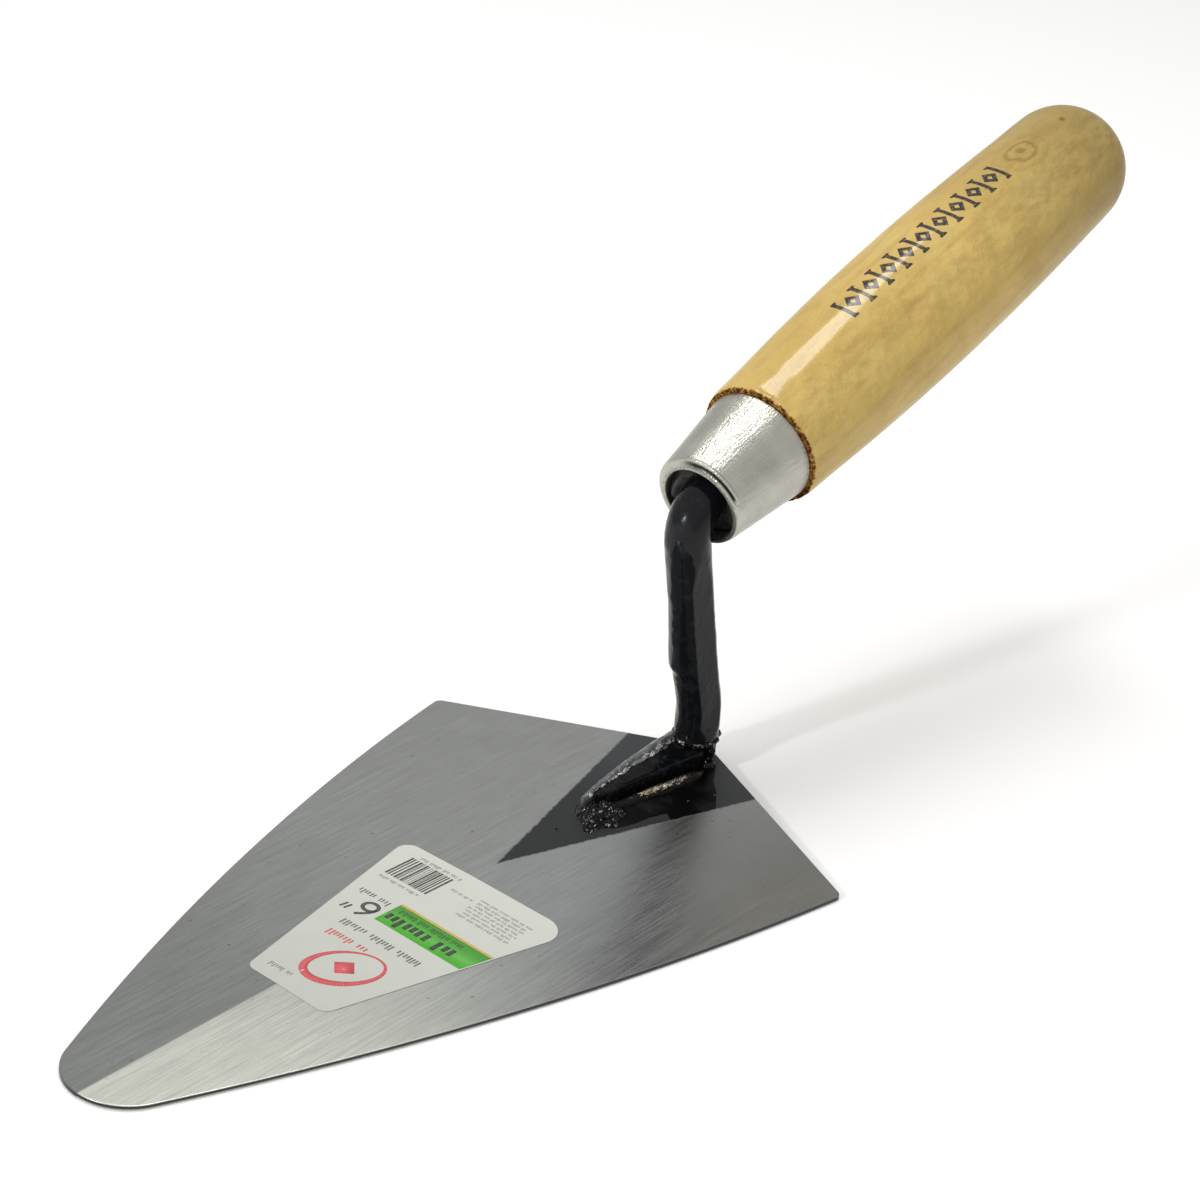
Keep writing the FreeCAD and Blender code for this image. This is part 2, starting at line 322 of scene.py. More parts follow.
@dataclass(frozen=True)
class GroundSteel:
    """Carbon steel sheet, belt ground on top and left black from the forge beside the shank.

    Ground steel is a satin metal: fine parallel scratches blur what it reflects.  The forge
    skin that the belt never reached is a dull, dark grey oxide.
    """

    left_colour: str = "#959795"
    left_tip_painted_shade: str = "#838583"
    right_heel_colour: str = "#939696"
    right_colour: str = "#949696"
    right_tip_painted_highlight: str = "#bec0b7"
    rim_colour: str = "#3c3e3f"
    skin_colour: str = "#2e3032"
    skin_dark_colour: str = "#232527"
    # painted reflection and shade of the facets: the tip colours come in between these two, and the
    # right facet gets painted shade outwards
    tip_from: float = 40.0              # the tip's colours come in from here, along the blade,
    tip_to: float = 104.0               # and are full here
    outer: tuple[float, float] = (16.0, 34.0)           # the right facet darkens outwards
    outer_painted_shade: float = 0.74
    roughness: float = 0.33
    scratch_mm: float = 0.35            # drawn coarser than the real 0.05 mm grit so that it shows
    mottle_mm: float = 9.0
    speck_mm: float = 1.1
    skin_front: float = 60.0            # the skin's point, forward of the heel point
    skin_left_slope: float = 0.2505     # how fast the skin widens towards the heel
    skin_right_slope: float = 0.326
    # painted light beside the foot's rear end and painted shade ahead, as scales of the skin colour
    skin_painted_tones: tuple[float, float] = (1.5, 0.55)       # beside the foot's rear end, and ahead

    def material(self) -> bpy.types.Material:
        """Build the shader.

        Returns:
            The material, read in Object coordinates.
        """
        g = Graph("ground_carbon_steel")
        place = g.add("TexCoord", output="Object")
        x, y, z = g.add("SeparateXYZ", place).node.outputs
        # grinding scratches run along the blade, so the noise is stretched along X
        along = g.add("Mapping", Vector=place, Scale=(0.03, 1.0, 1.0))
        scratch = g.add("TexNoise", Vector=along, Scale=1.0 / (self.scratch_mm * MM), Detail=3.0,
                        Roughness=0.7)
        cloudy = g.add("TexNoise", Vector=place, Scale=1.0 / (self.mottle_mm * MM), Detail=5.0,
                       Roughness=0.65)
        speck = g.add("TexNoise", Vector=place, Scale=1.0 / (self.speck_mm * MM), Detail=2.0)
        # facets: a painted reflection makes the right one brighter towards the tip, and painted
        # shade makes the left one darker there
        side = g.add("MapRange", Value=y, From_Min=-0.12 * MM, From_Max=0.12 * MM)
        to_tip = g.add("MapRange", Value=x, From_Min=self.tip_from * MM, From_Max=self.tip_to * MM,
                       interpolation_type="SMOOTHSTEP")
        from_heel = g.add("MapRange", Value=x, From_Min=0.0, From_Max=self.tip_from * MM)
        right = g.add("Mix", from_heel, self.right_heel_colour, self.right_colour, data_type="RGBA")
        right = g.add("Mix", to_tip, right, self.right_tip_painted_highlight, data_type="RGBA")
        near, far = self.outer
        outer = g.add("MapRange", Value=y, From_Min=near * MM, From_Max=far * MM, To_Min=1.0,
                      To_Max=self.outer_painted_shade)
        outer = g.add("Mix", to_tip, outer, 1.0)
        right = g.add("VectorMath", right, Scale=outer, operation="SCALE")
        left = g.add("Mix", to_tip, self.left_colour, self.left_tip_painted_shade, data_type="RGBA")
        ground = g.add("Mix", side, left, right, data_type="RGBA")
        streaks = g.add("MapRange", Value=scratch, From_Min=0.25, From_Max=0.75, To_Min=0.94,
                        To_Max=1.05)
        mottle = g.add("MapRange", Value=cloudy, From_Min=0.3, From_Max=0.7, To_Min=0.96,
                       To_Max=1.03)
        tone = g.add("Math", streaks, mottle, operation="MULTIPLY")
        pits = g.add("MapRange", Value=speck, From_Min=0.71, From_Max=0.76, To_Min=1.0, To_Max=0.62)
        tone = g.add("Math", tone, pits, operation="MULTIPLY")
        ground = g.add("VectorMath", ground, Scale=tone, operation="SCALE")
        # forge skin: a V that opens towards the heel, its edge softened by the belt
        ahead = g.add("Math", (self.skin_front + HEEL[0]) * MM, x, operation="SUBTRACT")
        slope = g.add("MapRange", Value=y, From_Min=-0.1 * MM, From_Max=0.1 * MM,
                      To_Min=self.skin_left_slope, To_Max=self.skin_right_slope)
        half = g.add("Math", ahead, slope, operation="MULTIPLY")
        inside = g.add("Math", half, g.add("Math", y, operation="ABSOLUTE"), operation="SUBTRACT")
        ragged = g.add("Math", speck, 0.7 * MM, inside, operation="MULTIPLY_ADD")
        skin = g.add("MapRange", Value=ragged, From_Min=0.15 * MM, From_Max=0.65 * MM)
        top = g.add("Math", z, 0.45 * MM, operation="GREATER_THAN")
        skin = g.add("Math", skin, top, operation="MULTIPLY")
        oxide = g.add("Mix", cloudy, self.skin_dark_colour, self.skin_colour, data_type="RGBA")
        # painted light and shade on the skin: lighter beside the foot's rear end, darker ahead
        rear_tone, front_tone = self.skin_painted_tones
        painted_light_and_shade = g.add("MapRange", Value=x, From_Min=-8.0 * MM, From_Max=8.0 * MM, To_Min=rear_tone,
                       To_Max=front_tone)
        oxide = g.add("VectorMath", oxide, Scale=painted_light_and_shade, operation="SCALE")
        colour = g.add("Mix", skin, ground, oxide, data_type="RGBA")
        # the sheared edge all round is left unground
        level = g.add("SeparateXYZ", g.add("NewGeometry", output="Normal"), output="Z")
        rim = g.add("MapRange", Value=g.add("Math", level, operation="ABSOLUTE"), From_Min=0.55,
                    From_Max=0.3)
        rim = g.masked(rim, z, (0.15, 0.35), (0.85, 0.65))
        colour = g.add("Mix", rim, colour, self.rim_colour, data_type="RGBA")
        worn = g.add("MapRange", Value=scratch, From_Min=0.3, From_Max=0.7,
                     To_Min=self.roughness - 0.05, To_Max=self.roughness + 0.07)
        rough = g.add("Mix", skin, worn, 0.55)
        metal = g.add("MapRange", Value=skin, To_Min=1.0, To_Max=0.25)
        bump = g.add("Bump", Strength=0.25, Distance=0.02 * MM, Height=scratch)
        return g.finish(Base_Color=colour, Metallic=metal, Roughness=rough, Normal=bump,
                        Specular_IOR_Level=0.3)


@dataclass(frozen=True)
class BlackEnamel:
    """Gloss black air-drying enamel, brushed or dipped over rough steel.

    It levels while wet, so it mirrors the room, but it sags over scale and pits beneath.  A painted
    reflection makes it greyer on the shank's hammered flat, the only place with that height and
    facing.
    """

    colour: str = "#121316"
    roughness: float = 0.08
    sag_mm: float = 2.4
    pit_mm: float = 0.45
    depth: float = 0.12                 # height of the sags, in millimetres
    gloss: float = 0.22
    dust: str = "#24262a"
    # painted reflection on the shank's hammered flat
    painted_light_and_shade: str = "#1b1d1f"

    def material(self, name: str = "gloss_black_enamel") -> bpy.types.Material:
        """Build the shader.

        Args:
            name: the material's name.

        Returns:
            The material, read in Object coordinates.
        """
        g = Graph(name)
        place = g.add("TexCoord", output="Object")
        sag = g.add("TexNoise", Vector=place, Scale=1.0 / (self.sag_mm * MM), Detail=2.0)
        pit = g.add("TexNoise", Vector=place, Scale=1.0 / (self.pit_mm * MM), Detail=3.0)
        patches = g.add("MapRange", Value=sag, From_Min=0.52, From_Max=0.66)
        fine = g.add("Math", pit, patches, operation="MULTIPLY")
        height = g.add("Math", fine, 0.6, sag, operation="MULTIPLY_ADD")
        bump = g.add("Bump", Strength=0.5, Distance=self.depth * MM, Height=height)
        colour = g.add("Mix", fine, self.colour, self.dust, data_type="RGBA")
        flat_way = (math.cos(FLAT_ANGLE), math.sin(FLAT_ANGLE), 0.0)
        facing = g.add("VectorMath", g.add("NewGeometry", output="Normal"), flat_way,
                       operation="DOT_PRODUCT")
        level = g.add("SeparateXYZ", place, output="Z")
        # painted reflection: the hammered flat is coloured lighter
        painted_light_and_shade = g.add("MapRange", Value=facing, From_Min=0.88, From_Max=0.95)
        painted_light_and_shade = g.masked(painted_light_and_shade, level, (7.0, 10.0), (45.0, 36.0))
        colour = g.add("Mix", painted_light_and_shade, colour, self.painted_light_and_shade, data_type="RGBA")
        rough = g.add("MapRange", Value=fine, From_Min=0.1, From_Max=0.6, To_Min=self.roughness,
                      To_Max=self.roughness + 0.16)
        return g.finish(Base_Color=colour, Roughness=rough, Normal=bump,
                        Specular_IOR_Level=self.gloss)


@dataclass(frozen=True)
class WeldMetal:
    """Arc weld beads under the same black enamel, which breaks where the metal is sharp.

    Where it breaks, heat-tinted steel shows: white, grey and straw sparks on gloss black.
    """

    paint: str = "#0a0b0c"
    gloss: float = 0.12
    bright: str = "#eceae6"
    straw: str = "#8b8a87"
    grain_mm: float = 0.45
    grain_depth: float = 0.14           # in millimetres
    patch_mm: float = 1.8
    stretch: float = 1.0                # how much longer the grain is along the blade

    def material(self, name: str = "enamelled_weld_metal") -> bpy.types.Material:
        """Build the shader.

        Args:
            name: the material's name.

        Returns:
            The material, read in Object coordinates and from the "worn" attribute, whose X is
            how readily the paint breaks.
        """
        g = Graph(name)
        place = g.add("TexCoord", output="Object")
        worn = g.add("SeparateXYZ", g.add("Attribute", output="Vector", attribute_name="worn"),
                     output="X")
        long_way = g.add("Mapping", Vector=place, Scale=(1.0 / self.stretch, 1.0, 1.0))
        grain = g.add("TexNoise", Vector=long_way, Scale=1.0 / (self.grain_mm * MM), Detail=3.0,
                      Roughness=0.6)
        patch = g.add("TexNoise", Vector=place, Scale=1.0 / (self.patch_mm * MM), Detail=2.0)
        level = g.add("Math", patch, 0.25, g.add("Math", grain, 0.55, operation="MULTIPLY"),
                      operation="MULTIPLY_ADD")
        level = g.add("Math", worn, 0.3, level, operation="MULTIPLY_ADD")
        bare = g.add("MapRange", Value=level, From_Min=0.61, From_Max=0.66)
        tint = g.add("MapRange", Value=patch, From_Min=0.38, From_Max=0.62)
        tint = g.add("Mix", tint, self.bright, self.straw, data_type="RGBA")
        colour = g.add("Mix", bare, self.paint, tint, data_type="RGBA")
        rough = g.add("Mix", bare, 0.14, 0.3)
        bump = g.add("Bump", Strength=0.8, Distance=self.grain_depth * MM, Height=grain)
        return g.finish(Base_Color=colour, Metallic=bare, Roughness=rough, Normal=bump,
                        Specular_IOR_Level=self.gloss)


@dataclass(frozen=True)
class NickelPlate:
    """Bright nickel over drawn steel: a satin mirror, warm grey, with tool marks and fine pits."""

    colour: str = "#bcbab0"
    roughness: float = 0.3
    streak_mm: float = 0.5
    grain_mm: float = 0.35
    broad_mm: float = 5.0
    # painted shade in the crease
    crease_shade_colour: str = "#14130f"             # in the crease

    def material(self) -> bpy.types.Material:
        """Build the shader.

        Returns:
            The material, read from the "turned" attribute (millimetres about the axis).
        """
        g = Graph("satin_nickel_plate")
        place = g.add("Attribute", output="Vector", attribute_name="turned")
        drawn = g.add("Mapping", Vector=place, Scale=(1.0, 1.0, 0.12))
        streak = g.add("TexNoise", Vector=drawn, Scale=1.0 / self.streak_mm, Detail=3.0,
                       Roughness=0.6)
        grain = g.add("TexNoise", Vector=place, Scale=1.0 / self.grain_mm, Detail=2.0)
        broad = g.add("TexNoise", Vector=place, Scale=1.0 / self.broad_mm, Detail=3.0)
        tone = g.add("MapRange", Value=broad, From_Min=0.3, From_Max=0.7, To_Min=0.86, To_Max=1.05)
        base = g.add("VectorMath", linear(self.colour)[:3], Scale=tone, operation="SCALE")
        # painted shade in the crease, read from the crease attribute
        crease_shade = g.add("SeparateXYZ", g.add("Attribute", output="Vector", attribute_name="crease_shade"),
                     output="X")
        base = g.add("Mix", crease_shade, base, self.crease_shade_colour, data_type="RGBA")
        patches = g.add("Math", grain, broad, operation="MULTIPLY")
        rough = g.add("MapRange", Value=patches, From_Min=0.15, From_Max=0.4,
                      To_Min=self.roughness - 0.03, To_Max=self.roughness + 0.08)
        height = g.add("Math", grain, 0.6, streak, operation="MULTIPLY_ADD")
        bump = g.add("Bump", Strength=0.14, Distance=0.02, Height=height)
        return g.finish(Base_Color=base, Metallic=1.0, Roughness=rough, Normal=bump)


@dataclass(frozen=True)
class LacqueredWood:
    """Pale close-grained hardwood, turned, sanded and dipped in clear yellowish lacquer.

    The lacquer gives a sharp highlight over a soft, mottled, honey-yellow ground.  The
    shoulder that meets the ferrule is bare, scorched end grain.
    """

    light: str = "#cdb168"
    mid: str = "#c2a359"
    dark: str = "#a9853f"
    fleck: str = "#7d5a2a"
    knot: str = "#8b6a2a"
    char: str = "#2c1808"
    scorch: str = "#a06a30"
    ink: str = "#22222a"
    mottle_mm: float = 16.0
    vein_mm: float = 3.2
    pore_mm: float = 0.5
    wear_mm: float = 0.625
    wave_mm: float = 7.0
    knot_at: tuple[float, float] = (106.5, 3.0)         # along the axis, degrees from the top
    dot_at: tuple[float, float] = (120.1, 4.8)
    radius: float = 13.0
    shoulder: float = 23.4
    stamp_from: float = 49.0
    stamp_to: float = 98.5
    stamp_angle: float = 3.2
    stamp_half_width: float = 2.75
    stamp_marks: int = 9

    def material(self) -> bpy.types.Material:
        """Build the shader.

        Returns:
            The material, read from the "turned" attribute (millimetres about the axis).
        """
        g = Graph("lacquered_hardwood")
        place = g.add("Attribute", output="Vector", attribute_name="turned")
        top, aside, s = g.add("SeparateXYZ", place).node.outputs
        angle = g.add("Math", aside, top, operation="ARCTAN2")
        arc = g.add("Math", angle, self.radius, operation="MULTIPLY")
        colour = self.grain(g, place, s, arc)
        flat = g.add("CombineXYZ", arc, s)
        worn = g.add("TexNoise", Vector=place, Scale=1.0 / self.wear_mm, Detail=3.0, Roughness=0.7)
        stamp = self.stamp(g, s, arc, worn)
        colour = g.add("Mix", stamp, colour, self.ink, data_type="RGBA")
        # painted shade: the butt end is darker
        butt = g.add("MapRange", Value=s, From_Min=80.0, From_Max=122.0, To_Min=1.0, To_Max=0.6)
        colour = g.add("VectorMath", colour, Scale=butt, operation="SCALE")
        # bare scorched end grain at the shoulder
        edge = g.add("Math", worn, 1.1, s, operation="MULTIPLY_ADD")
        bare = g.add("MapRange", Value=edge, From_Min=self.shoulder + 0.9,
                     From_Max=self.shoulder + 0.6)
        burnt = g.add("MapRange", Value=worn, From_Min=0.38, From_Max=0.66)
        char = g.add("Mix", burnt, self.char, self.scorch, data_type="RGBA")
        colour = g.add("Mix", bare, colour, char, data_type="RGBA")
        waves = g.add("TexNoise", Vector=flat, Scale=1.0 / self.wave_mm, Detail=2.0)
        height = g.add("Math", worn, 0.08, waves, operation="MULTIPLY_ADD")
        bump = g.add("Bump", Strength=0.3, Distance=0.12, Height=height)
        rough = g.add("Mix", bare, 0.38, 0.85)
        gloss = g.add("MapRange", Value=bare, To_Min=0.42, To_Max=0.0)
        return g.finish(Base_Color=colour, Roughness=rough, Normal=bump, Coat_Weight=gloss,
                        Coat_Roughness=0.11, Coat_IOR=1.7, Specular_IOR_Level=0.0)

    def grain(self, g: Graph, place: Socket, s: Socket, arc: Socket) -> Socket:
        """Colour of the wood: mottled ground, long soft grain, flecks, a knot and a dark dot.

        Args:
            g: the graph to add to.
            place: millimetres about the axis.
            s: distance along the axis.
            arc: distance round the surface from the top line.

        Returns:
            The colour socket.
        """
        long_way = g.add("Mapping", Vector=place, Scale=(1.0, 1.0, 0.16))
        mottle = g.add("TexNoise", Vector=place, Scale=1.0 / self.mottle_mm, Detail=4.0,
                       Roughness=0.6)
        soft = g.add("TexNoise", Vector=long_way, Scale=1.0 / self.vein_mm, Detail=4.0,
                     Roughness=0.62, Distortion=0.6)
        fine = g.add("TexNoise", Vector=long_way, Scale=1.0 / self.pore_mm, Detail=3.0,
                     Roughness=0.6)
        base = self.light
        # mottle, veins and pores: from, to and strength of each, and its colour
        for noise, low, high, most, tint in ((mottle, 0.35, 0.65, 1.0, self.mid),
                                             (soft, 0.5, 0.74, 0.5, self.dark),
                                             (fine, 0.66, 0.78, 0.4, self.fleck)):
            share = g.add("MapRange", Value=noise, From_Min=low, From_Max=high, To_Max=most)
            base = g.add("Mix", share, base, tint, data_type="RGBA")
        # the knot: uneven rings that fade with distance from its centre
        reach = self.reach(g, s, arc, self.knot_at, 0.62)
        reach = g.add("Math", soft, 3.2, reach, operation="MULTIPLY_ADD")
        ring = g.add("Math", g.add("Math", reach, 3.6, operation="MULTIPLY"), operation="SINE")
        ring = g.add("MapRange", Value=ring, From_Min=-0.2, From_Max=1.0)
        near = g.add("MapRange", Value=reach, From_Min=6.2, From_Max=3.4, To_Min=0.0, To_Max=0.65)
        knot = g.add("Math", ring, near, operation="MULTIPLY")
        base = g.add("Mix", knot, base, self.knot, data_type="RGBA")
        dot = self.reach(g, s, arc, self.dot_at, 1.0)
        dot = g.add("Math", fine, 0.9, dot, operation="MULTIPLY_ADD")
        dot = g.add("MapRange", Value=dot, From_Min=1.2, From_Max=0.8, To_Max=0.7)
        return g.add("Mix", dot, base, self.fleck, data_type="RGBA")

    def reach(self, g: Graph, s: Socket, arc: Socket, spot: tuple[float, float],
              squash: float) -> Socket:
        """How far the surface is from a spot on it.

        Args:
            g: the graph to add to.
            s: distance along the axis.
            arc: distance round the surface from the top line.
            spot: along the axis, and degrees from the top.
            squash: what distances along the axis are multiplied by.

        Returns:
            The distance socket, in millimetres.
        """
        along, angle = spot
        round_it = g.add("Math", arc, math.radians(angle) * self.radius, operation="SUBTRACT")
        along_it = g.add("Math", s, along, operation="SUBTRACT")
        away = g.add("CombineXYZ", round_it, along_it)
        away = g.add("VectorMath", away, (1.0, squash, 1.0), operation="MULTIPLY")
        return g.add("VectorMath", away, operation="LENGTH")

    def stamp(self, g: Graph, s: Socket, arc: Socket, worn: Socket) -> Socket:
        """A plain ornament in black ink: a row of lozenges between serifed bars.

        Args:
            g: the graph to add to.
            s: distance along the axis.
            arc: distance round the surface from the top line.
            worn: noise that breaks the ink up.

        Returns:
            How inked the surface is, 0 to 1.
        """
        pitch = (self.stamp_to - self.stamp_from) / self.stamp_marks
        middle = math.radians(self.stamp_angle) * self.radius
        side = g.apart(arc, middle)
        step = g.add("Math", g.add("Math", s, self.stamp_from, operation="SUBTRACT"), pitch,
                     operation="DIVIDE")
        cell = g.add("Math", step, operation="FRACT")
        off_mm = g.add("Math", g.apart(cell, 0.5), pitch, operation="MULTIPLY")
        # lozenge outline: |along| + |across| near one size
        lozenge = g.add("Math", side, off_mm, operation="ADD")
        rim = g.add("Math", 0.62, g.apart(lozenge, 1.2), operation="SUBTRACT")
        # a bar across the row at every cell's end
        low = g.add("Math", self.stamp_half_width, side, operation="SUBTRACT")
        serif = g.add("MapRange", Value=low, From_Min=0.4, From_Max=0.7, To_Min=0.95, To_Max=0.48)
        bar = g.add("Math", g.add("Math", off_mm, pitch / 2, operation="SUBTRACT"), serif,
                    operation="ADD")
        bar = g.add("Math", bar, low, operation="MINIMUM")
        shape = g.add("Math", rim, bar, operation="MAXIMUM")
        for limit, sign in ((self.stamp_from - 0.5, 1.0), (self.stamp_to + 0.5, -1.0)):
            gap = g.add("Math", g.add("Math", s, limit, operation="SUBTRACT"), sign,
                        operation="MULTIPLY")
            shape = g.add("Math", shape, gap, operation="MINIMUM")
        inked = g.add("MapRange", Value=shape, From_Min=-0.03, From_Max=0.05)
        thin = g.add("MapRange", Value=worn, From_Min=0.36, From_Max=0.5, To_Min=0.72, To_Max=0.97)
        return g.add("Math", inked, thin, operation="MULTIPLY")


@dataclass(frozen=True)
class SetResin:
    """Grey epoxy with black sag from the dipped shank: matte, lumpy, dirty."""

    colour: str = "#3d3d3a"
    sag_colour: str = "#0e0e0f"
    lump_mm: float = 1.3

    def material(self) -> bpy.types.Material:
        """Build the shader, read in Object coordinates."""
        g = Graph("set_resin")
        place = g.add("TexCoord", output="Object")
        lumps = g.add("TexNoise", Vector=place, Scale=1.0 / (self.lump_mm * MM), Detail=4.0)
        colour = g.add("Mix", lumps, self.sag_colour, self.colour, data_type="RGBA")
        bump = g.add("Bump", Strength=0.7, Distance=0.3 * MM, Height=lumps)
        return g.finish(Base_Color=colour, Roughness=0.5, Normal=bump)


@dataclass(frozen=True)
class StickerPaper:
    """Coated white label paper, slightly grey-green, with a satin film over the print."""

    colour: str = "#c8cac1"
    pulp_colour: str = "#c0c3b9"
    pulp_mm: float = 4.0

    def material(self) -> bpy.types.Material:
        """Build the shader, read in Object coordinates."""
        g = Graph("coated_label_paper")
        place = g.add("TexCoord", output="Object")
        pulp = g.add("TexNoise", Vector=place, Scale=1.0 / (self.pulp_mm * MM), Detail=5.0)
        colour = g.add("Mix", pulp, self.colour, self.pulp_colour, data_type="RGBA")
        # the end towards the tip is greyer
        x = g.add("SeparateXYZ", place, output="X")
        tone = g.add("MapRange", Value=x, From_Min=42.0 * MM, From_Max=89.0 * MM, To_Min=0.985,
                     To_Max=0.81)
        colour = g.add("VectorMath", colour, Scale=tone, operation="SCALE")
        bump = g.add("Bump", Strength=0.15, Distance=0.08 * MM, Height=pulp)
        return g.finish(Base_Color=colour, Roughness=0.42, Normal=bump)


@dataclass(frozen=True)
class Ink:
    """Offset printing ink on the label: flat colour with a faint mottle of the press."""

    name: str
    colour: str
    strength: float = 1.0
    paper: str = "#d6d8ce"              # what shows through
    press_mm: float = 0.5

    def material(self) -> bpy.types.Material:
        """Build the shader, read in Object coordinates."""
        g = Graph(self.name)
        place = g.add("TexCoord", output="Object")
        press = g.add("TexNoise", Vector=place, Scale=1.0 / (self.press_mm * MM), Detail=3.0)
        share = g.add("MapRange", Value=press, From_Min=0.3, From_Max=0.8,
                      To_Min=1.0 - self.strength, To_Max=1.08 - self.strength)
        colour = g.add("Mix", share, self.colour, self.paper, data_type="RGBA")
        return g.finish(Base_Color=colour, Roughness=0.42)


# ---------------------------------------------------------------------------------- blade

@dataclass
class Blade:
    """The ground plate: kite outline, flat underside, two facets above."""

    length: float = 152.4
    width: float = 89.69
    corner: float = 23.4                # heel corners, forward of the heel point
    heel_round: float = 3.0
    corner_round: float = 1.5
    bow_radius: float = 527.0
    tip_radius: float = 9.9
    thickness: float = 0.9
    ridge: float = 0.5
    edge_round: float = 0.14
    wave: float = 0.035                 # a hand-ground face is never quite flat

    def top(self, x: np.ndarray, y: np.ndarray) -> np.ndarray:
        """Height of the ground facets above the underside.

        Each facet is a plane through the tip and its heel corner that rises to the ridge, and
        a low swell of the grinding is taken off it.

        Args:
            x: frame X in millimetres.
            y: frame Y in millimetres.

        Returns:
            Height in millimetres.
        """
        reach = self.length - self.corner
        plane = self.thickness + self.ridge * (1.0 - x / reach - np.abs(y) / (self.width / 2))
        places = np.stack([x, y, np.sign(y) * 40.0], axis=-1)
        return plane - self.wave * (0.5 + 0.5 * cloud(places, 34.0, 11, 2))

    def outline(self) -> tuple[np.ndarray, np.ndarray]:
        """Points round the plate and their outward normals, anticlockwise from the heel.

        Straight heel edges meet side arcs at rounded corners, and the side arcs run into the
        tip's circle tangentially.

        Returns:
            Points and unit normals, each shaped (points, 2).
        """
        heel = np.array([-self.corner, 0.0])
        corner = np.array([0.0, self.width / 2])
        centre_tip = np.array([self.length - self.corner - self.tip_radius, 0.0])
        span = corner - centre_tip
        gap = np.linalg.norm(span)
        to_tip = self.bow_radius - self.tip_radius
        along = (to_tip ** 2 - self.bow_radius ** 2 + gap ** 2) / (2 * gap)
        across = math.sqrt(to_tip ** 2 - along ** 2)
        way = unit(span)
        square = np.array([-way[1], way[0]])
        square = square if square[1] < 0 else -square
        bow = centre_tip + way * along + square * across
        lean = math.atan2(*(centre_tip - bow)[::-1])
        # the +Y half: tip arc, side arc, corner arc, heel edge and heel arc
        tip_turn = np.linspace(0.0, lean, 40)
        tip = centre_tip + self.tip_radius * circle(tip_turn)
        # the corner arc touches the side arc from inside and the heel edge
        edge = unit(corner - heel)
        edge_out = np.array([-edge[1], edge[0]])
        edge_lean = math.atan2(edge_out[1], edge_out[0])
        inner = self.bow_radius - self.corner_round
        base = heel - edge_out * self.corner_round - bow
        half = base @ edge
        root = -half + math.sqrt(half ** 2 - base @ base + inner ** 2)
        corner_centre = bow + base + edge * root
        side_end = math.atan2(*(corner_centre - bow)[::-1])
        side_turn = np.linspace(lean, side_end, 170)[1:]
        side = bow + self.bow_radius * circle(side_turn)
        corner_turn = np.linspace(side_end, edge_lean, 16)[1:]
        corner_arc = corner_centre + self.corner_round * circle(corner_turn)
        heel_centre = np.array([heel[0] + self.heel_round / edge[1], 0.0])
        heel_turn = np.linspace(edge_lean, math.pi, 14)
        heel_arc = heel_centre + self.heel_round * circle(heel_turn)
        run = np.linspace(corner_arc[-1], heel_arc[0], 60)[1:-1]
        points = np.vstack([tip, side, corner_arc, run, heel_arc])
        turns = np.concatenate([tip_turn, side_turn, corner_turn,
                                np.full(len(run), edge_lean), heel_turn])
        normals = circle(turns)
        mirror = np.array([1.0, -1.0])
        points = np.vstack([points, points[-2:0:-1] * mirror])
        normals = np.vstack([normals, normals[-2:0:-1] * mirror])
        return points, normals

    def build(self) -> bpy.types.Object:
        """Rings from the middle of the top, out over the rounded edge and back underneath.

        Returns:
            The plate.
        """
        points, normals = self.outline()
        return slab("blade_plate", points, normals, np.array([8.0, 0.0]), self.top,
                    lambda x, y: np.zeros_like(x), self.edge_round)

    def dress(self) -> None:
        """Build the plate, keep its ridge crisp, and finish it."""
        plate = self.build()
        spots = np.zeros(len(plate.data.vertices) * 3)
        plate.data.vertices.foreach_get("co", spots)
        spots = spots.reshape(-1, 3)
        sharpen(plate, (np.abs(spots[:, 1]) < 1e-7) & (spots[:, 2] > 0.8 * self.thickness * MM))
        enlist(plate, Slot.STEEL, GroundSteel().material(), "blade")


def slab(name: str, outline: np.ndarray, normals: np.ndarray, centre: np.ndarray, top: Height,
         bottom: Height, edge_round: float, base: np.ndarray | None = None) -> bpy.types.Object:
    """Plate with rounded rims between two height fields.

    Rings shrink from the outline to the centre on both faces: p = centre + f (rim - centre).
    Two quarter turns of the rim round the edges: rim - normal r (1 - sin a), top - r (1 - cos a).

    Args:
        name: the piece's name.
        outline: points round the plate, frame millimetres.
        normals: unit normals of the outline.
        centre: where the rings shrink to.
        top: the upper face.
        bottom: the lower face.
        edge_round: radius of the rims.
        base: a wider outline for the lower face, for drafted sides.

    Returns:
        The closed plate.
    """
    rim = outline - normals * edge_round
    draft = np.zeros_like(outline) if base is None else base - outline
    reach = np.linalg.norm(outline - centre, axis=1)
    inner = outline - normals * edge_round * 2.2
    shares = np.concatenate([np.linspace(0.04, 0.96, 24), [0.99]])
    faces = [centre + share * (inner - centre) for share in shares] + [inner, rim]
    turns = np.linspace(0.0, math.pi / 2, 6)[1:]
    upper = [(ring, 0.0) for ring in faces]
    upper += [(rim + normals * edge_round * math.sin(turn), 1.0 - math.cos(turn))
              for turn in turns]
    rings = []
    for ring, drop in upper:
        x, y = ring[:, 0], ring[:, 1]
        rings.append(np.column_stack([ring, top(x, y) - edge_round * drop]))
    for ring, drop in upper[::-1]:
        share = np.linalg.norm(ring - centre, axis=1) / reach
        x, y = (ring + draft * share[:, None]).T
        rings.append(np.column_stack([ring, bottom(x, y) + edge_round * drop]))
    middle = centre[None, :]
    poles = tuple(np.array([*centre, level(middle[:, 0], middle[:, 1])[0]])
                  for level in (top, bottom))
    return shell(name, np.array(rings), poles)


# ---------------------------------------------------------------------------------- paths

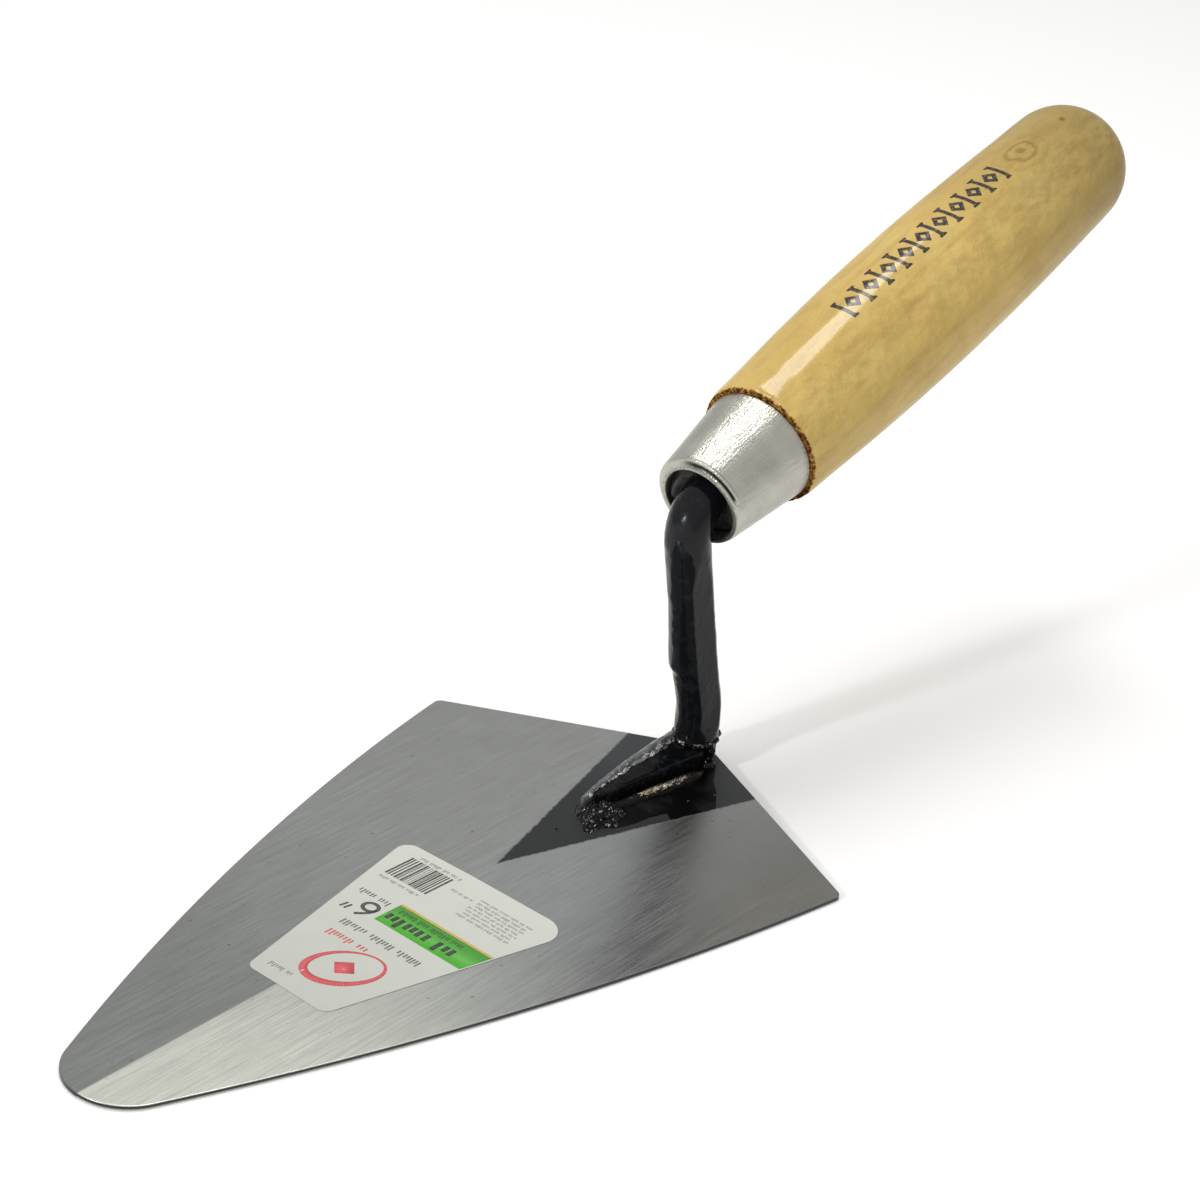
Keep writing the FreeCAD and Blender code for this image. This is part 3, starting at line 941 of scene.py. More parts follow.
def rounded_path(corners: np.ndarray, radii: list[float], step: float) -> np.ndarray:
    """Evenly spaced points on straight runs joined by tangent arcs.

    Args:
        corners: the path's corners in millimetres, ends included.
        radii: arc radius at each inner corner.
        step: spacing of the points.

    Returns:
        Points, shaped (points, 3).
    """
    parts = [corners[:1]]
    for before, corner, after, radius in zip(corners, corners[1:], corners[2:], radii):
        back, ahead = unit(before - corner), unit(after - corner)
        half_turn = (math.pi - math.acos(float(back @ ahead))) / 2
        centre = corner + unit(back + ahead) * radius / math.cos(half_turn)
        first = corner + back * radius * math.tan(half_turn) - centre
        last = corner + ahead * radius * math.tan(half_turn) - centre
        share = np.linspace(0.0, 1.0, 24)[:, None]
        arc = (np.sin((1 - share) * 2 * half_turn) * first
               + np.sin(share * 2 * half_turn) * last) / math.sin(2 * half_turn)
        parts.append(centre + arc)
    parts.append(corners[-1:])
    line = np.vstack(parts)
    return spread(line, np.arange(0.0, walked(line)[-1], step))


@dataclass
class HandleAxis:
    """The line that the tang, ferrule and handle share."""

    rise: float = math.radians(19.64)
    start: tuple[float, float] = (19.67, 51.33)         # forward and up of distance zero

    def point(self, distance: float) -> np.ndarray:
        """Spot on the axis, in frame millimetres."""
        forward, up = self.start
        return HEEL + np.array([forward - distance * math.cos(self.rise), 0.0,
                                up + distance * math.sin(self.rise)])

    def carry(self, turned: np.ndarray) -> np.ndarray:
        """Move shapes built about Z onto the axis.

        Args:
            turned: millimetres, x towards the handle's top line, y towards +Y, z along the axis.

        Returns:
            Frame millimetres.
        """
        top = np.array([math.sin(self.rise), 0.0, math.cos(self.rise)])
        back = np.array([-math.cos(self.rise), 0.0, math.sin(self.rise)])
        return self.point(0.0) + turned @ np.stack([top, SIDEWAYS, back])

    def revolve(self, radius: np.ndarray, distance: np.ndarray, columns: int) -> np.ndarray:
        """Rings of a turned profile, before they are carried.

        Args:
            radius: profile radii.
            distance: profile distances along the axis.
            columns: points in a ring.

        Returns:
            Shaped (profile, columns, 3).
        """
        plan = radius[:, None, None] * circle(full_turn(columns))
        return np.dstack([plan, np.broadcast_to(distance[:, None], plan.shape[:2])])


AXIS = HandleAxis()


# ---------------------------------------------------------------------------------- shank

@dataclass
class Shank:
    """Bent rod with a hammered flat, and the square tang that it ends in."""

    radius: float = 4.05
    foot: float = 4.2
    knee: tuple[float, float] = (5.2, 11.0)             # forward and up
    lean: tuple[float, float] = (8.75, 21.3)
    corner_distance: float = 2.3                        # where it meets the handle's axis
    bends: tuple[float, float, float] = (20.0, 60.0, 7.0)
    flat_depth: float = 0.62
    flat_up: tuple = (6.0, 9.0, 37.0, 45.0)             # it fades out at the weld and in the bend
    step_depth: float = 0.5
    step_up: tuple = (19.8, 21.4, 22.0, 36.0)
    sag_depth: float = 0.11
    tang_from: float = 14.0
    tang_to: float = 91.5
    tang_sides: tuple[float, float] = (5.4, 2.6)
    columns: int = 96

    def build(self) -> bpy.types.Object:
        """Carry a section along the bent line.

        The rod's radius is R, cut to (R - depth) / cos(angle from the flat) where the hammered
        flat lies.  Past the ferrule's mouth it morphs to a square, |cos|^8 + |sin|^8 = 1, that
        tapers.  Sags of the thick enamel are added along the normal.

        Returns:
            The rod.
        """
        plan = ((self.knee[0], self.foot), self.knee, self.lean)
        corners = np.array([*(HEEL + (forward, 0.0, up) for forward, up in plan),
                            AXIS.point(self.corner_distance), AXIS.point(self.tang_to)])
        line = rounded_path(corners, list(self.bends), 0.3)
        way = np.gradient(line, axis=0)
        way /= np.linalg.norm(way, axis=1, keepdims=True)
        ahead = np.stack([way[:, 2], np.zeros(len(way)), -way[:, 0]], axis=-1)
        angle = full_turn(self.columns)[None, :]
        up = (line[:, 2] - HEEL[2])[:, None]
        back = (line - AXIS.point(0.0)) @ (AXIS.point(1.0) - AXIS.point(0.0))
        depth = self.flat_depth * window(up, *self.flat_up)
        facing = np.clip(np.cos(angle - FLAT_ANGLE), 0.05, 1.0)
        radius = np.minimum(self.radius, (self.radius - depth) / facing)
        # forging step at the elbow, on the side away from the flat
        step = self.step_depth * window(up, *self.step_up)
        radius = radius + step * np.clip(-np.sin(angle - 0.5), 0.0, 1.0)
        share = np.clip((back - self.tang_from) / (self.tang_to - self.tang_from), 0.0, 1.0)
        half = (self.tang_sides[0] + share * (self.tang_sides[1] - self.tang_sides[0])) / 2
        square = half[:, None] / (np.abs(np.cos(angle)) ** 8 + np.abs(np.sin(angle)) ** 8) ** 0.125
        blend = ease(back, self.tang_from - 1.0, self.tang_from + 2.0)[:, None]
        radius = radius * (1 - blend) + square * blend
        rings = (line[:, None] + ahead[:, None] * (radius * np.cos(angle))[..., None]
                 + SIDEWAYS * (radius * np.sin(angle))[..., None])
        sags = cloud(rings * (1.0, 1.0, 0.45), 3.4, 21, 3) * (1 - blend)
        rings = rings + outward(rings) * (self.sag_depth * sags)[..., None]
        return shell("shank_rod", rings, (line[0], line[-1]))

    def dress(self) -> None:
        """Build and enamel the rod."""
        enlist(self.build(), Slot.ENAMEL, BlackEnamel().material(), "shank")


# ---------------------------------------------------------------------------------- foot and welds

@dataclass
class Foot:
    """Forged wedge along the blade's centre line, with drafted sides."""

    rear: float = 5.2
    front: float = 32.6
    top_radii: tuple[float, float] = (3.95, 0.6)        # of the upper outline, rear and front
    base_radii: tuple[float, float] = (4.9, 1.5)
    rear_height: float = 4.6
    front_height: float = 3.35
    edge_round: float = 0.3
    lean: float = 0.17                  # fall of the upper face towards +Y
    rough: float = 0.07

    def top(self, x: np.ndarray, y: np.ndarray) -> np.ndarray:
        """Sloping upper face, with the shallow unevenness of the hammer."""
        share = (x - HEEL[0] - self.rear) / (self.front - self.rear)
        level = HEEL[2] + self.rear_height + share * (self.front_height - self.rear_height)
        places = np.stack([x, y, np.zeros_like(x)], axis=-1)
        return level - self.lean * y + self.rough * cloud(places, 5.0, 31, 2)

    def outline(self, radii: tuple[float, float]) -> tuple[np.ndarray, np.ndarray]:
        """Hull of a large rear circle and a small front one: two arcs and their tangents.

        Args:
            radii: rear and front radius.

        Returns:
            Points and unit normals, anticlockwise.
        """
        side = math.pi / 2 - math.asin((radii[0] - radii[1]) / (self.front - self.rear))
        turn_front = np.linspace(-side, side, 24)
        turn_rear = np.linspace(side, 2 * math.pi - side, 40)
        arcs = []
        for place, radius, turn in ((self.front, radii[1], turn_front),
                                    (self.rear, radii[0], turn_rear)):
            normal = circle(turn)
            arcs.append((np.array([HEEL[0] + place, 0.0]) + radius * normal, normal))
        (front, front_way), (rear, rear_way) = arcs
        share = np.linspace(0.0, 1.0, 40)[1:-1, None]
        points = np.vstack([front, front[-1] * (1 - share) + rear[0] * share, rear,
                            rear[-1] * (1 - share) + front[0] * share])
        normals = np.vstack([front_way, np.repeat(front_way[-1:], len(share), 0), rear_way,
                             np.repeat(front_way[:1], len(share), 0)])
        return points, normals

    def build(self, blade: Blade) -> bpy.types.Object:
        """Loft from the base outline on the blade to the rounded upper outline.

        Returns:
            The wedge.
        """
        upper, normals = self.outline(self.top_radii)
        lower, _ = self.outline(self.base_radii)
        return slab("foot_wedge", upper, normals, np.array([HEEL[0] + 14.0, 0.0]), self.top,
                    lambda x, y: blade.top(x, y) - 0.15, self.edge_round, lower)

    def dress(self, blade: Blade) -> None:
        """Build and enamel the wedge."""
        enamel = BlackEnamel(colour="#0c0d0f", sag_mm=1.6, gloss=0.08)
        enlist(self.build(blade), Slot.ENAMEL, enamel.material("gloss_black_enamel_on_forging"),
               "foot")


@dataclass
class Welds:
    """Every bead, lump and droplet of weld metal round the foot.

    A bead is a row of stations: (forward, towards +Y, up, half width, half height).  A drop is
    the spot of its middle and its half sizes.
    """

    left: tuple = ((2.6, -2.6, 1.0, 0.5, 1.2), (4.2, -2.7, 1.4, 1.5, 3.1),
                   (7.0, -2.65, 1.5, 1.7, 4.15), (13.0, -2.5, 1.6, 1.6, 4.05),
                   (23.0, -2.2, 1.3, 1.35, 3.5), (31.0, -1.85, 1.0, 0.95, 2.85),
                   (35.2, -1.7, 0.8, 0.6, 2.0))
    right: tuple = ((8.6, 4.7, 0.5, 0.4, 0.5), (11.0, 4.75, 0.6, 1.2, 1.1),
                    (16.0, 4.2, 0.6, 1.3, 1.25), (20.0, 3.65, 0.6, 1.3, 1.25),
                    (24.0, 3.0, 0.5, 1.2, 1.15), (30.5, 1.9, 0.4, 0.9, 1.0))
    ring: tuple[float, float, float, float] = (5.2, 4.9, 3.95, 0.55)    # forward, up, radii
    ring_wear: float = 0.3
    sparks: tuple = ((2.0, 10.0, 0.95), (48.0, 14.0, 0.6), (78.0, 8.0, 0.6))    # degrees, wear
    horn_at: float = math.radians(146.0)
    toe: tuple = ((29.5, -2.2), (33.0, -3.6), (36.8, -1.6), (38.0, 0.0), (38.4, 1.2), (40.8, 3.2),
                  (40.2, 4.3), (37.6, 4.6), (35.2, 6.3), (33.4, 5.2), (30.5, 4.4), (28.8, 2.0))
    toe_height: float = 1.25
    drip: tuple = ((6.2, 4.2, 0.9), (1.2, 1.1, 1.3))
    run: tuple = ((6.1, 4.3, 2.9), (0.8, 0.75, 2.4))
    spatter: tuple = ((43.6, -0.4, 0.26), (26.4, 6.7, 0.22), (18.7, 9.1, 0.2), (29.0, 14.5, 0.18),
                      (13.6, 11.0, 0.24))               # forward, towards +Y, radius

    def bead(self, name: str, stations: tuple, lumps: float, stretch: float, worn_at: float,
             worn_wide: float, box: float, tilt: float, worn_fade: float,
             seed: int) -> bpy.types.Object:
        """Weld bead: ovals along a line, roughened most where the paint has broken.

        Sections are interpolated between the stations: y = aside + wide cos t, and
        z = up + high sin(t)^box + tilt (y - aside).  The surface is pushed out by lattice
        noise, drawn out along the bead, that is strongest round one angle of the section.

        Args:
            name: the piece's name.
            stations: the bead's sections.
            lumps: depth of the noise in millimetres.
            stretch: how much longer the lumps are along the bead.
            worn_at: section angle of the roughest line, in degrees from +Y towards +Z.
            worn_wide: how far the roughness reaches to its sides, in radians.
            box: power of the sine, below one for a flat top with a corner.
            tilt: fall of the top towards -Y.
            worn_fade: over what length at each end the wear dies out, in millimetres.
            seed: picks the noise.

        Returns:
            The bead.
        """
        table = np.array(stations)
        x = np.linspace(table[0, 0], table[-1, 0], int((table[-1, 0] - table[0, 0]) / 0.14))
        aside, up, wide, high = (np.interp(x, table[:, 0], table[:, k])[:, None]
                                 for k in range(1, 5))
        angle = full_turn(96)[None, :]
        side = wide * np.cos(angle)
        rise = high * np.sign(np.sin(angle)) * np.abs(np.sin(angle)) ** box
        rings = np.stack([np.broadcast_to(x[:, None], side.shape), aside + side,
                          up + rise + tilt * side], axis=-1) + HEEL
        fade, worn_ends = (np.minimum(ease(x, x[0], x[0] + reach),
                                      1 - ease(x, x[-1] - reach, x[-1]))[:, None]
                           for reach in (1.5, worn_fade))
        off = turned_from(angle, math.radians(worn_at))
        worn = np.exp(-(off / worn_wide) ** 2) * worn_ends
        drawn = rings * (1.0 / stretch, 1.0, 1.0)
        push = lumps * (0.25 + worn) * cloud(drawn, 1.1, seed, 4)
        rings = rings + outward(rings) * (push * fade)[..., None]
        return self.rooted(name, rings, worn)

    def rooted(self, name: str, rings: np.ndarray, worn: np.ndarray | float) -> bpy.types.Object:
        """Close a stack of rings inside the plate and note how worn its paint is."""
        rings[..., 2] = np.maximum(rings[..., 2], ROOT_LEVEL)
        ends = rings[[0, -1]].mean(axis=1)
        return shell(name, rings, (ends[0], ends[1]),
                     {"worn": np.broadcast_to(worn, rings.shape[:2])})

    def mound(self, name: str, blade: Blade, depth: float, worn: float,
              seed: int) -> bpy.types.Object:
        """Low, ragged patch of weld at the toe: its outline drawn in over a rough dome.

        Args:
            name: the piece's name.
            blade: the plate it lies on.
            depth: how far the noise pushes, in millimetres.
            worn: how readily its paint breaks.
            seed: picks the noise.

        Returns:
            The patch.
        """
        closed = np.array([*self.toe, self.toe[0]])
        walk = np.linspace(0.0, walked(closed)[-1], 260, endpoint=False)
        edge = spread(closed, walk)
        places = np.column_stack([edge, 0 * walk])
        edge = edge + 0.45 * np.stack([cloud(places, 1.1, seed + k, 3) for k in range(2)], -1)
        middle = closed[:-1].mean(axis=0)
        share = np.linspace(0.02, 1.0, 70)[:, None, None]
        plan = middle + (edge - middle)[None] * share + HEEL[:2]
        dome = self.toe_height * (1.0 - share[..., 0] ** 2.4)
        flat = np.dstack([plan, np.zeros(plan.shape[:2])])
        rough = depth * (cloud(flat, 0.75, seed + 2, 4) + 0.35) * (1.0 - share[..., 0] ** 8)
        level = blade.top(plan[..., 0], plan[..., 1]) + dome + rough
        top = np.dstack([plan, level])
        root = np.dstack([plan[-1:], np.full_like(level[-1:], ROOT_LEVEL)])
        return self.rooted(name, np.concatenate([top, root]), worn)

    def lump(self, name: str, centre: tuple, halves: tuple, depth: float, cell: float, worn: float,
             seed: int) -> bpy.types.Object:
        """Oval drop of metal: a sphere's rings stretched to the halves and roughened.

        Args:
            name: the piece's name.
            centre: spot of its middle.
            halves: half sizes along X, Y and Z.
            depth: how far the noise pushes.
            cell: size of the noise.
            worn: how readily its paint breaks.
            seed: picks the noise.

        Returns:
            The drop.
        """
        polar = np.linspace(0.0, math.pi, 66)[1:-1][:, None]
        plan = np.sin(polar)[..., None] * circle(full_turn(110))
        ball = np.dstack([plan, np.broadcast_to(np.cos(polar), plan.shape[:2])])
        rings = HEEL + np.array(centre) + ball * np.array(halves)
        rings = rings + ball * (depth * cloud(rings, cell, seed, 4))[..., None]
        return self.rooted(name, rings, worn)

    def collar(self, seed: int) -> bpy.types.Object:
        """Thin ring of weld round the rod.

        A torus whose section swells and shrinks round the rod, with one horn at the heel, bright
        sparks at a few angles, and lattice noise along its normal.

        Args:
            seed: picks the noise.

        Returns:
            The ring.
        """
        forward, up, radius, section = self.ring
        around = full_turn(220)[:, None]
        across = full_turn(36)[None, :]
        horn = np.exp(-((around - self.horn_at) / 0.16) ** 2)
        size = section * (0.95 + 0.25 * np.sin(3 * around + 1.0) * np.sin(5 * around) + 0.8 * horn)
        far = radius + size * np.cos(across)
        rings = np.stack([far * np.cos(around), far * np.sin(around), size * np.sin(across)], -1)
        rings = rings + HEEL + (forward, 0.0, up)
        rings = rings - outward(rings) * (0.34 * cloud(rings, 1.0, seed, 4))[..., None]
        worn = np.full(rings.shape[:2], self.ring_wear)
        for place, reach, wear in self.sparks:
            off = turned_from(around, math.radians(place)) / math.radians(reach)
            worn = worn + (wear - self.ring_wear) * np.exp(-off ** 2)
        return shell("shank_weld_ring", rings, extra={"worn": worn})

    def droplets(self) -> bpy.types.Object:
        """Spatter: small flattened balls stuck to the plate, joined into one piece."""
        drops = [self.lump(f"droplet_{number}", (x, y, 0.42), (size, size * 0.85, size * 0.8),
                           depth=0.05, cell=0.5, worn=0.66, seed=70 + number)
                 for number, (x, y, size) in enumerate(self.spatter)]
        with bpy.context.temp_override(active_object=drops[0], selected_editable_objects=drops):
            bpy.ops.object.join()
        drops[0].name = drops[0].data.name = "weld_spatter_drops"
        return drops[0]

    def dress(self, blade: Blade) -> None:
        """Build all the weld metal and finish it: little paint is left on the right bead."""
        painted = WeldMetal(grain_depth=0.08).material()
        # painted reflection: the left bead's enamel is coloured grey
        dull = WeldMetal(paint="#4a4d4f", gloss=0.5).material("weld_metal_with_painted_reflection")
        bare = WeldMetal(stretch=2.6, grain_mm=0.3, paint="#15120e", bright="#dad4c6",
                         straw="#736446").material("bare_weld_metal")
        left = self.bead("left_weld_bead", self.left, lumps=0.42, stretch=1.2, worn_at=40.0,
                         worn_wide=0.36, box=0.5, tilt=0.16, worn_fade=1.5, seed=41)
        enlist(left, Slot.WELD, dull, "left_weld")
        right = self.bead("right_weld_bead", self.right, lumps=0.3, stretch=2.6, worn_at=72.0,
                          worn_wide=0.75, box=1.0, tilt=0.0, worn_fade=8.0, seed=45)
        enlist(right, Slot.WELD, bare, "right_weld")
        enlist(self.collar(49), Slot.WELD, painted, "shank_weld")
        mound = self.mound("toe_weld_mound", blade, depth=0.55, worn=0.49, seed=53)
        enlist(mound, Slot.WELD, painted, "toe_weld")
        drop = self.lump("heel_weld_drop", *self.drip, depth=0.2, cell=1.0, worn=0.4, seed=57)
        enlist(drop, Slot.WELD, painted, "heel_weld_drip")
        run = self.lump("heel_weld_run", *self.run, depth=0.2, cell=1.0, worn=0.36, seed=59)
        enlist(run, Slot.WELD, painted)
        enlist(self.droplets(), Slot.WELD, painted, "weld_spatter")


@dataclass
class PaintFilm:
    """The enamel that ran onto the blade beside the foot: a thin gloss film."""

    inner: tuple = ((5.0, 2.6), (9.0, 3.0), (14.0, 2.8), (19.0, 2.4), (23.0, 2.0), (28.0, 1.6),
                    (33.0, 1.0), (35.0, 0.6), (36.0, 0.2), (35.0, -0.8))
    outer: tuple = ((4.6, 4.9), (9.4, 7.8), (12.0, 10.4), (17.0, 13.9), (26.1, 10.9), (24.5, 9.2),
                    (25.7, 8.7), (28.3, 8.0), (33.3, 7.2), (35.2, 6.4), (37.7, 4.6), (40.2, 4.4),
                    (40.8, 3.3), (38.5, 1.3), (38.2, 0.1), (36.9, -1.6), (35.0, -2.9))
    thickness: float = 0.05

    def build(self, blade: Blade) -> bpy.types.Object:
        """Ruled sheet between the foot's side and the ragged outer edge, following the facets.

        Returns:
            The closed film.
        """
        share = np.linspace(0.0, 1.0, 220)
        near, far = (spread(line, share * walked(line)[-1])
                     for line in (np.array(self.inner), np.array(self.outer)))
        rough = cloud(np.column_stack([far, np.zeros(len(far))]), 1.6, 61, 3)
        far = far + rough[:, None] * 0.14
        across = np.concatenate([np.linspace(0.0, 0.96, 30), [0.985, 1.0]])
        plan = near[:, None] * (1 - across)[None, :, None] + far[:, None] * across[None, :, None]
        x, y = plan[..., 0] + HEEL[0], plan[..., 1]
        ground = blade.top(x, y)
        swell = self.thickness * np.sqrt(np.clip(1.0 - across ** 10, 0.0, 1.0))[None, :]
        upper = np.stack([x, y, ground + swell + 0.004], axis=-1)
        lower = np.stack([x, y, ground - 0.05], axis=-1)
        rings = np.concatenate([upper, lower[:, ::-1]], axis=1)
        ends = rings[[0, -1]].mean(axis=1)
        return shell("enamel_run_on_blade", rings, (ends[0], ends[1]))

    def dress(self, blade: Blade) -> None:
        """Build and enamel the film."""
        enamel = BlackEnamel(colour="#0b0a0b", roughness=0.3, sag_mm=5.0, depth=0.05, gloss=0.02)
        enlist(self.build(blade), Slot.ENAMEL, enamel.material("thin_black_enamel"))


# ---------------------------------------------------------------------------------- ferrule

@dataclass
class Ferrule:
    """Drawn cone with a turned-in front lip, creased along one quarter."""

    front: float = 5.45
    rear: float = 23.4
    rear_radius: float = 10.75
    slope: float = 0.1254
    wall: float = 0.8
    shoulder: float = 1.1               # radius of the turned-in front corner
    mouth: float = 6.95
    mouth_shift: tuple[float, float] = (-0.42, 0.3)     # off centre: down, and towards +Y
    lip_round: float = 0.3
    crease_turn: tuple = (-0.5, 0.0, 1.1, 1.3)          # where the crease starts and ends
    crease_depth: float = 0.42
    crease_lip: float = 0.26
    edge_break: float = 0.12

    def cone(self, distance: np.ndarray | float) -> np.ndarray | float:
        """Outside radius of the cone at a distance along the axis."""
        return self.rear_radius - self.slope * (self.rear - distance)

    def build(self) -> bpy.types.Object:
        """Turn the closed profile: cone, shoulder arc, front face, lip arc, inner wall, rear edge.

        Returns:
            The ferrule.
        """
        bend = self.front + self.shoulder
        outer_s = np.linspace(self.rear - self.edge_break, bend, 90)
        turn = np.linspace(0.0, math.pi / 2, 26)[1:]
        centre_r = self.cone(bend) - self.shoulder
        shoulder_r = centre_r + self.shoulder * np.cos(turn)
        shoulder_s = bend - self.shoulder * np.sin(turn)
        lip_turn = np.linspace(math.pi / 2, math.pi, 10)
        lip_r = self.mouth + self.lip_round + self.lip_round * np.cos(lip_turn)
        lip_s = self.front + self.lip_round - self.lip_round * np.sin(lip_turn)
        inner_s = np.linspace(self.front + 0.9, self.rear, 40)
        widen = ease(inner_s, self.front + 2.4, self.front + 3.6)
        inner_r = self.mouth + widen * (self.cone(inner_s) - self.wall - self.mouth)
        radius = np.concatenate([self.cone(outer_s), shoulder_r, lip_r, inner_r,
                                 [self.cone(self.rear) - self.edge_break]])
        distance = np.concatenate([outer_s, shoulder_s, lip_s, inner_s, [self.rear]])
        rings = AXIS.revolve(radius, distance, 288)
        rings, crease_shade = self.mark(rings, len(outer_s) + len(turn))
        return shell("ferrule_cone", AXIS.carry(rings), extra={"turned": rings, "crease_shade": crease_shade})

    def mark(self, rings: np.ndarray, outside: int) -> tuple[np.ndarray, np.ndarray]:
        """Shift the mouth, and press the crease and small dents into the outer surface.

        The crease runs round a quarter of the front corner, on the line s = front + 0.15 +
        0.3 angle, with a raised lip of metal behind it.

        Args:
            rings: turned millimetres.
            outside: how many rings belong to the cone and its shoulder.

        Returns:
            The marked rings, and how much painted shade lies in the crease.
        """
        angle = np.arctan2(rings[..., 1], rings[..., 0])
        s = rings[..., 2]
        radius = np.linalg.norm(rings[..., :2], axis=-1)
        quarter = window(angle, *self.crease_turn)
        past = s - (self.front + 0.15 + 0.3 * np.clip(angle, 0.0, self.crease_turn[-1]))
        groove = np.exp(-(past / 0.2) ** 2) * quarter
        lip = np.exp(-((past - 0.55) / 0.3) ** 2) * quarter
        dents = 0.02 * cloud(rings, 6.0, 81, 2) - 0.02
        outer = np.arange(len(rings))[:, None] < outside
        push = np.where(outer, self.crease_lip * lip - self.crease_depth * groove + dents, 0.0)
        marked = rings - outward(rings) * push[..., None]
        near = ease(8.6 - radius, 0.0, 1.0) * (1 - ease(s, self.front + 1.5, self.front + 6.0))
        marked[..., :2] += near[..., None] * np.array(self.mouth_shift)
        return marked, groove * outer

    def dress(self) -> None:
        """Build and plate the ferrule."""
        enlist(self.build(), Slot.NICKEL, NickelPlate().material(), "ferrule")


# ---------------------------------------------------------------------------------- handle

@dataclass
class Handle:
    """Turned grip: spigot, shoulder, swelling belly and domed butt."""

    spigot: float = 9.5
    shoulder: float = 23.4
    shoulder_radius: float = 11.74
    shoulder_round: float = 0.35
    belly_s: tuple[float, float] = (55.9, 89.1)
    belly_r: tuple[float, float] = (13.34, 13.44)
    dome: float = 121.2
    dome_radius: float = 12.26
    uneven: float = 0.09                # hand turning leaves the belly a hair out of round
    uneven_s: tuple = (25.4, 31.4, 112.0, 120.0)
    torn: float = 0.16                  # and tears the shoulder's rim

    def build(self, ferrule: Ferrule) -> bpy.types.Object:
        """Turn the profile: the belly is the cubic through its four diameters.

        Args:
            ferrule: the cone that the spigot fills.

        Returns:
            The grip.
        """
        start = self.shoulder + self.shoulder_round
        knots_s = [start, *self.belly_s, self.dome]
        knots_r = [self.shoulder_radius, *self.belly_r, self.dome_radius]
        cubic = np.polyfit(knots_s, knots_r, 3)
        belly_s = np.concatenate([np.linspace(start, start + 3.0, 14)[:-1],
                                  np.linspace(start + 3.0, self.dome, 190)])
        turn = np.linspace(0.0, math.pi / 2, 48)[1:-1]
        spigot_s = np.linspace(self.spigot, self.shoulder, 12)
        spigot_r = ferrule.cone(spigot_s) - ferrule.wall - 0.05
        corner = np.linspace(0.0, math.pi / 2, 8)
        corner_r = self.shoulder_radius - self.shoulder_round * (1 - np.sin(corner))
        corner_s = start - self.shoulder_round * np.cos(corner)
        step_r = np.linspace(float(spigot_r[-1]) + 0.15, float(corner_r[0]) - 0.1, 8)
        dome_r, dome_s = self.dome_radius * circle(turn).T
        radius = np.concatenate([[3.0], spigot_r, step_r, corner_r[:-1],
                                 np.polyval(cubic, belly_s), dome_r])
        distance = np.concatenate([[self.spigot], spigot_s, np.full(8, self.shoulder),
                                   corner_s[:-1], belly_s, self.dome + dome_s])
        rings = AXIS.revolve(radius, distance, 256)
        s = rings[..., 2]
        belly = window(s, *self.uneven_s)
        uneven = self.uneven * (cloud(rings * (1.0, 1.0, 0.4), 17.0, 91, 2) - 1.0) * belly
        torn = self.torn * (cloud(rings, 0.9, 95, 3) - 0.8) * np.exp(-((s - start) / 0.45) ** 2)
        torn = np.where(s > self.shoulder - 0.01, torn, 0.0)
        far = np.linalg.norm(rings[..., :2], axis=-1)
        rings[..., :2] *= (1 + (uneven + torn) / far)[..., None]
        poles = np.array([[0.0, 0.0, self.spigot], [0.0, 0.0, self.dome + self.dome_radius]])
        return shell("handle_grip", AXIS.carry(rings), tuple(AXIS.carry(poles)),
                     extra={"turned": rings})

    def dress(self, ferrule: Ferrule) -> None:
        """Build and lacquer the grip."""
        enlist(self.build(ferrule), Slot.WOOD, LacqueredWood().material(), "handle")


@dataclass
class Cement:
    """Resin round the tang: the CAD filling, and the skin of it that shows in the mouth."""

    base: float = 8.9                   # along the handle's axis
    rise: float = 0.8
    inner: float = 3.0
    outer: float = 8.1
    lump_angle: float = math.radians(-100.0)
    lump_rise: float = 2.4

    def build(self) -> bpy.types.Object:
        """Uneven disc round the rod, with a lump on one side.

        The front face rises by rise sin(t) + lump exp(-(angle / 0.4)^2) over the half turn t
        from its inner to its outer edge, and lattice noise roughens it.

        Returns:
            The disc.
        """
        turn = np.linspace(0.0, math.pi, 24)[:, None]
        angle = full_turn(128)[None, :]
        off = turned_from(angle, self.lump_angle)
        radius = self.inner + (self.outer - self.inner) * (0.5 - 0.5 * np.cos(turn)) + 0 * angle
        lump = self.lump_rise * np.exp(-(off / 0.4) ** 2) * np.exp(-((radius - 5.7) / 1.2) ** 2)
        front = np.dstack([radius[..., None] * circle(angle), 0 * radius])
        rough = 0.3 * cloud(front, 1.6, 101, 3) * np.sin(turn)
        front[..., 2] = self.base - self.rise * np.sin(turn) - lump + rough
        back = front[::-1].copy()
        back[..., 2] = self.base + 0.03
        return shell("cement_skin", AXIS.carry(np.concatenate([front, back])))

    def dress(self) -> None:
        """Finish the CAD filling and add the skin."""
        resin = SetResin().material()
        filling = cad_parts["tang_cement"]
        filling.data.materials.clear()
        filling.data.materials.append(resin)
        enlist(self.build(), Slot.RESIN, resin)


# ---------------------------------------------------------------------------------- label

